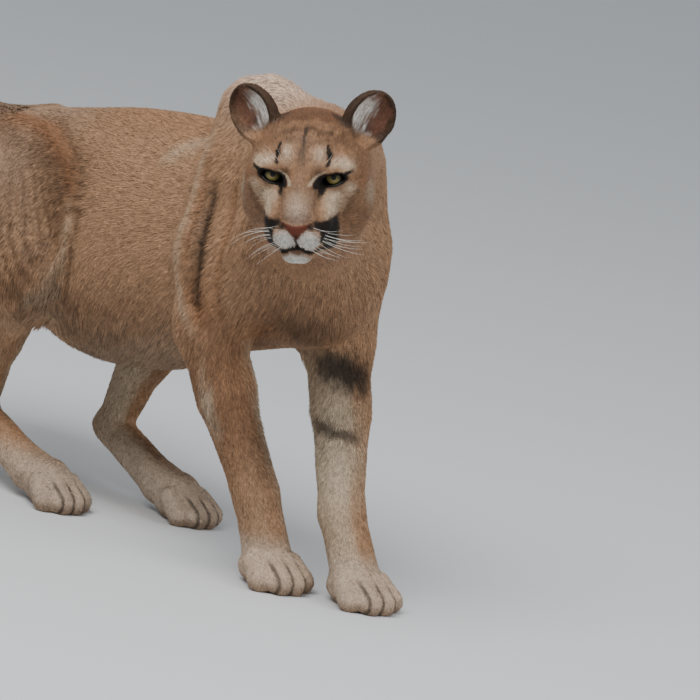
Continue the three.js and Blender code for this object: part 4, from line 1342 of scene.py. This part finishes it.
@dataclass
class Whiskers:
    """Long stiff hairs in rows on both whisker pads and over the eyes."""

    rows: int = 4
    each: int = 5
    length: float = 62.0
    thickness: float = 0.34
    seed: int = 77

    def tree(self, mat: Material) -> NodeTree:
        """Build the node tree that grows one tapered bent hair on each root point.

        Args:
            mat: The whiskers' material.

        Returns:
            The node tree.
        """
        entries = {"Geometry": "Geometry", "Length": "Float", "Thickness": "Float"}
        tree, enter, leave = group("whisker_growth", "GeometryNodeTree", entries, {"Geometry": "Geometry"})
        bend = {"Start": (0, 0, 0), "Middle": (0.08, 0, 0.55), "End": (-0.16, 0, 1.0)}
        arc = node(tree, "GeometryNodeCurveQuadraticBezier", Resolution=10, **bend)
        scale = node(tree, "GeometryNodeTransform")
        join = node(tree, "ShaderNodeCombineXYZ")
        along = node(tree, "GeometryNodeSplineParameter")
        taper = node(tree, "ShaderNodeMapRange", To_Min=1.0, To_Max=0.15)
        radius = node(tree, "GeometryNodeSetCurveRadius")
        ring = node(tree, "GeometryNodeCurvePrimitiveCircle", Resolution=5)
        tube = node(tree, "GeometryNodeCurveToMesh", Fill_Caps=True)
        place = node(tree, "GeometryNodeInstanceOnPoints")
        facing = node(tree, "GeometryNodeInputNamedAttribute", Name="growth")
        facing.data_type = "FLOAT_VECTOR"
        size = node(tree, "GeometryNodeInputNamedAttribute", Name="size")
        size.data_type = "FLOAT"
        turn = node(tree, "FunctionNodeAlignEulerToVector")
        turn.axis = "Z"
        real = node(tree, "GeometryNodeRealizeInstances")
        dress = node(tree, "GeometryNodeSetMaterial", Material=mat)
        wire(tree, *((enter, "Length", join, k) for k in range(3)))
        wire(
            tree,
            (arc, "Curve", scale, "Geometry"),
            (join, 0, scale, "Scale"),
            (along, "Factor", taper, "Value"),
            (scale, "Geometry", radius, "Curve"),
            (taper, "Result", radius, "Radius"),
            (enter, "Thickness", ring, "Radius"),
            (radius, "Curve", tube, "Curve"),
            (ring, "Curve", tube, "Profile Curve"),
            (facing, "Attribute", turn, "Vector"),
            (enter, "Geometry", place, "Points"),
            (tube, "Mesh", place, "Instance"),
            (turn, "Rotation", place, "Rotation"),
            (size, "Attribute", place, "Scale"),
            (place, "Instances", real, "Geometry"),
            (real, "Geometry", dress, "Geometry"),
            (dress, "Geometry", leave, "Geometry"),
        )
        if "Scale" in tube.inputs:
            wire(tree, (taper, "Result", tube, "Scale"))
        return tree

    def build(self, skin: Surface, mat: Material) -> Object:
        """Grow the whiskers on the skin of the muzzle and brow.

        Args:
            skin: The whole skin.
            mat: The whiskers' material.

        Returns:
            The finished piece.
        """
        rng = np.random.default_rng(self.seed)
        h = HEAD.local(skin.points)
        hairs: list[tuple[Array, Array, float]] = []
        for s in (-1, 1):
            for row in range(self.rows):
                for k in range(self.each):
                    want = path(56.0 - 5.0 * k, s * (11.0 + 4.6 * k), -60.0 - 5.4 * row + 0.4 * k)
                    way = path(0.42 - 0.22 * k, s * (0.75 + 0.1 * k), -0.5 + 0.13 * (3 - row))
                    way = way + 0.1 * rng.normal(size=3)
                    hairs.append((want, way, rng.uniform(0.45, 1.0) * (0.55 + 0.12 * k)))
            for k in range(3):
                hairs.append((path(16, s * (26.0 + 5.0 * k), 22), path(0.7, s * (0.2 + 0.3 * k), 0.8), 0.5))
        roots = [skin.points[np.argmin(np.sum((h - want) ** 2, axis=1))] for want, _, _ in hairs]
        growth = [unit(way) @ HEAD.axes() for _, way, _ in hairs]
        obj = mesh_object("whiskers", np.array(roots), np.zeros((0, 3), int))
        new = obj.data.attributes.new
        new("growth", "FLOAT_VECTOR", "POINT").data.foreach_set("vector", np.array(growth, np.float32).ravel())
        sizes = np.array([size for _, _, size in hairs], np.float32)
        new("size", "FLOAT", "POINT").data.foreach_set("value", sizes)
        modifier = obj.modifiers.new("growth", "NODES")
        modifier.node_group = self.tree(mat)
        items = modifier.node_group.interface.items_tree
        ids = {item.name: item.identifier for item in items if item.in_out == "INPUT"}
        modifier[ids["Length"]] = self.length * MM
        modifier[ids["Thickness"]] = self.thickness * MM
        mesh = applied(obj)
        mesh.polygons.foreach_set("use_smooth", np.ones(len(mesh.polygons), bool))
        return placed("whiskers", mesh)


@dataclass(frozen=True)
class View:
    """The camera of the photograph: a long lens, a little above the animal and tilted."""

    turn: float = 49.0
    height: float = 10.0
    roll: float = 10.0
    distance: float = 9.2
    pixels: float = 7200.0
    picture: float = 700.0
    sensor: float = 36.0
    anchor: Triple = (200.0, -55.0, 640.0)
    anchor_pixel: Pair = (262.0, 72.0)

    def axes(self) -> Array:
        """Return the camera's right, up and backward directions."""
        turn, height, roll = map(math.radians, (self.turn, self.height, self.roll))
        back = path(math.sin(turn) * math.cos(height), -math.cos(turn) * math.cos(height), math.sin(height))
        right = path(math.cos(turn), math.sin(turn), 0)
        up = np.cross(back, right)
        return path(right * math.cos(roll) + up * math.sin(roll), up * math.cos(roll) - right * math.sin(roll), back)

    def build(self) -> None:
        """Create the camera and make it the scene's own."""
        right, up, back = self.axes()
        x, y = ((value - self.picture / 2) / self.pixels * self.distance for value in self.anchor_pixel)
        at = (np.array(self.anchor) + SHIFT) * MM + back * self.distance - right * x + up * y
        data = bpy.data.cameras.new("camera")
        data.sensor_width = self.sensor
        data.lens = self.pixels / self.picture * self.sensor
        data.clip_end = 100.0
        camera = placed("camera", data)
        place = np.eye(4)
        place[:3] = np.column_stack([right, up, back, at])
        camera.matrix_world = Matrix(place.tolist())
        bpy.context.scene.camera = camera


CAMERA_AXES = View().axes()


def studio() -> None:
    """Set a plain pale floor, a soft sky and one broad soft light with a weaker one beside it."""
    world = bpy.data.worlds.new("sky")
    world.use_nodes = True
    back = world.node_tree.nodes["Background"]
    back.inputs["Color"].default_value = (0.86, 0.93, 1.0, 1.0)
    back.inputs["Strength"].default_value = 0.55
    bpy.context.scene.world = world
    target = Vector((0.5, 0, 0.35))
    for name, place, size, energy in (("key", (1.2, -2.2, 4.2), 3.0, 225.0), ("fill", (3.5, 1.0, 2.5), 3.0, 50.0)):
        data = bpy.data.lights.new(name, "AREA")
        data.size = size
        data.energy = energy
        light = placed(name, data)
        light.location = place
        light.rotation_euler = (target - Vector(place)).to_track_quat("-Z", "Y").to_euler()
    mesh = bpy.data.meshes.new("floor")
    mesh.from_pydata([(-60, -60, 0), (60, -60, 0), (60, 60, 0), (-60, 60, 0)], [], [(0, 1, 2, 3)])
    mat = bpy.data.materials.new("floor_pale")
    mat.use_nodes = True
    shader = mat.node_tree.nodes["Principled BSDF"]
    shader.inputs["Base Color"].default_value = (0.62, 0.62, 0.62, 1.0)
    shader.inputs["Roughness"].default_value = 0.9
    mesh.materials.append(mat)
    placed("floor", mesh)


def settle(piece: Object) -> None:
    """Let a piece ride on the animal and log how many faces it has."""
    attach(piece, "root")
    LOG.info("%s: %d faces", piece.name, len(piece.data.polygons))


def grow_coat(skin: Skin, region: Region, prefix: str, mat: Material) -> None:
    """Sow one region of the coat and split it into pieces of a modest size.

    Args:
        skin: The skin it grows on.
        region: The part of the coat.
        prefix: How the pieces' names start.
        mat: Their material.
    """
    tufts = skin.sow(region)
    order = np.argsort(tufts.roots[:, 0], kind="stable")
    pieces = max(1, math.ceil(len(order) / PIECE_TUFTS))
    for k, chosen in enumerate(np.array_split(order, pieces)):
        settle(tufts.take(chosen).build(f"{prefix}_{k + 1}", mat))


def main() -> None:
    """Build the cougar around its frame, piece by piece."""
    View().build()
    studio()
    grain = soft_grain()
    mats = {key: finish.material(grain) for key, finish in FINISHES.items()}
    flesh = ["head", "ear_left", "ear_right", "neck", "torso", "hindquarters", "tail_base", "tail_middle", "tail_end"]
    flesh += [f"leg_{name}" for name in LIMBS] + [f"foot_{name}" for name in LIMBS]
    whole = merged_nodes(flesh)
    whole = thinned(whole.relaxed(WHOLE_ROUNDS, np.ones(len(whole.points))))
    body = region_at(whole.points, Region.BODY).astype(float)
    skin = Skin(whole.relaxed(BODY_ROUNDS, body))
    dressed = skin.build("skin", mats["skin"])
    settle(dressed)
    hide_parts(*flesh)
    for side in (-1, 1):
        eye = Eye(side)
        ball = eye.build(mats["eye"])
        settle(ball)
        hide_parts(eye.name("eye"))
        settle(eye.build_rim(mats["lid"]))
    for region, prefix in ((Region.HEAD, "coat_head"), (Region.BODY, "coat_body"), (Region.FEET, "coat_feet")):
        grow_coat(skin, region, prefix, mats["hair"])
    settle(Whiskers().build(skin.surface, mats["whisker"]))
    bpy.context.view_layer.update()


if __name__ == "__main__":
    main()
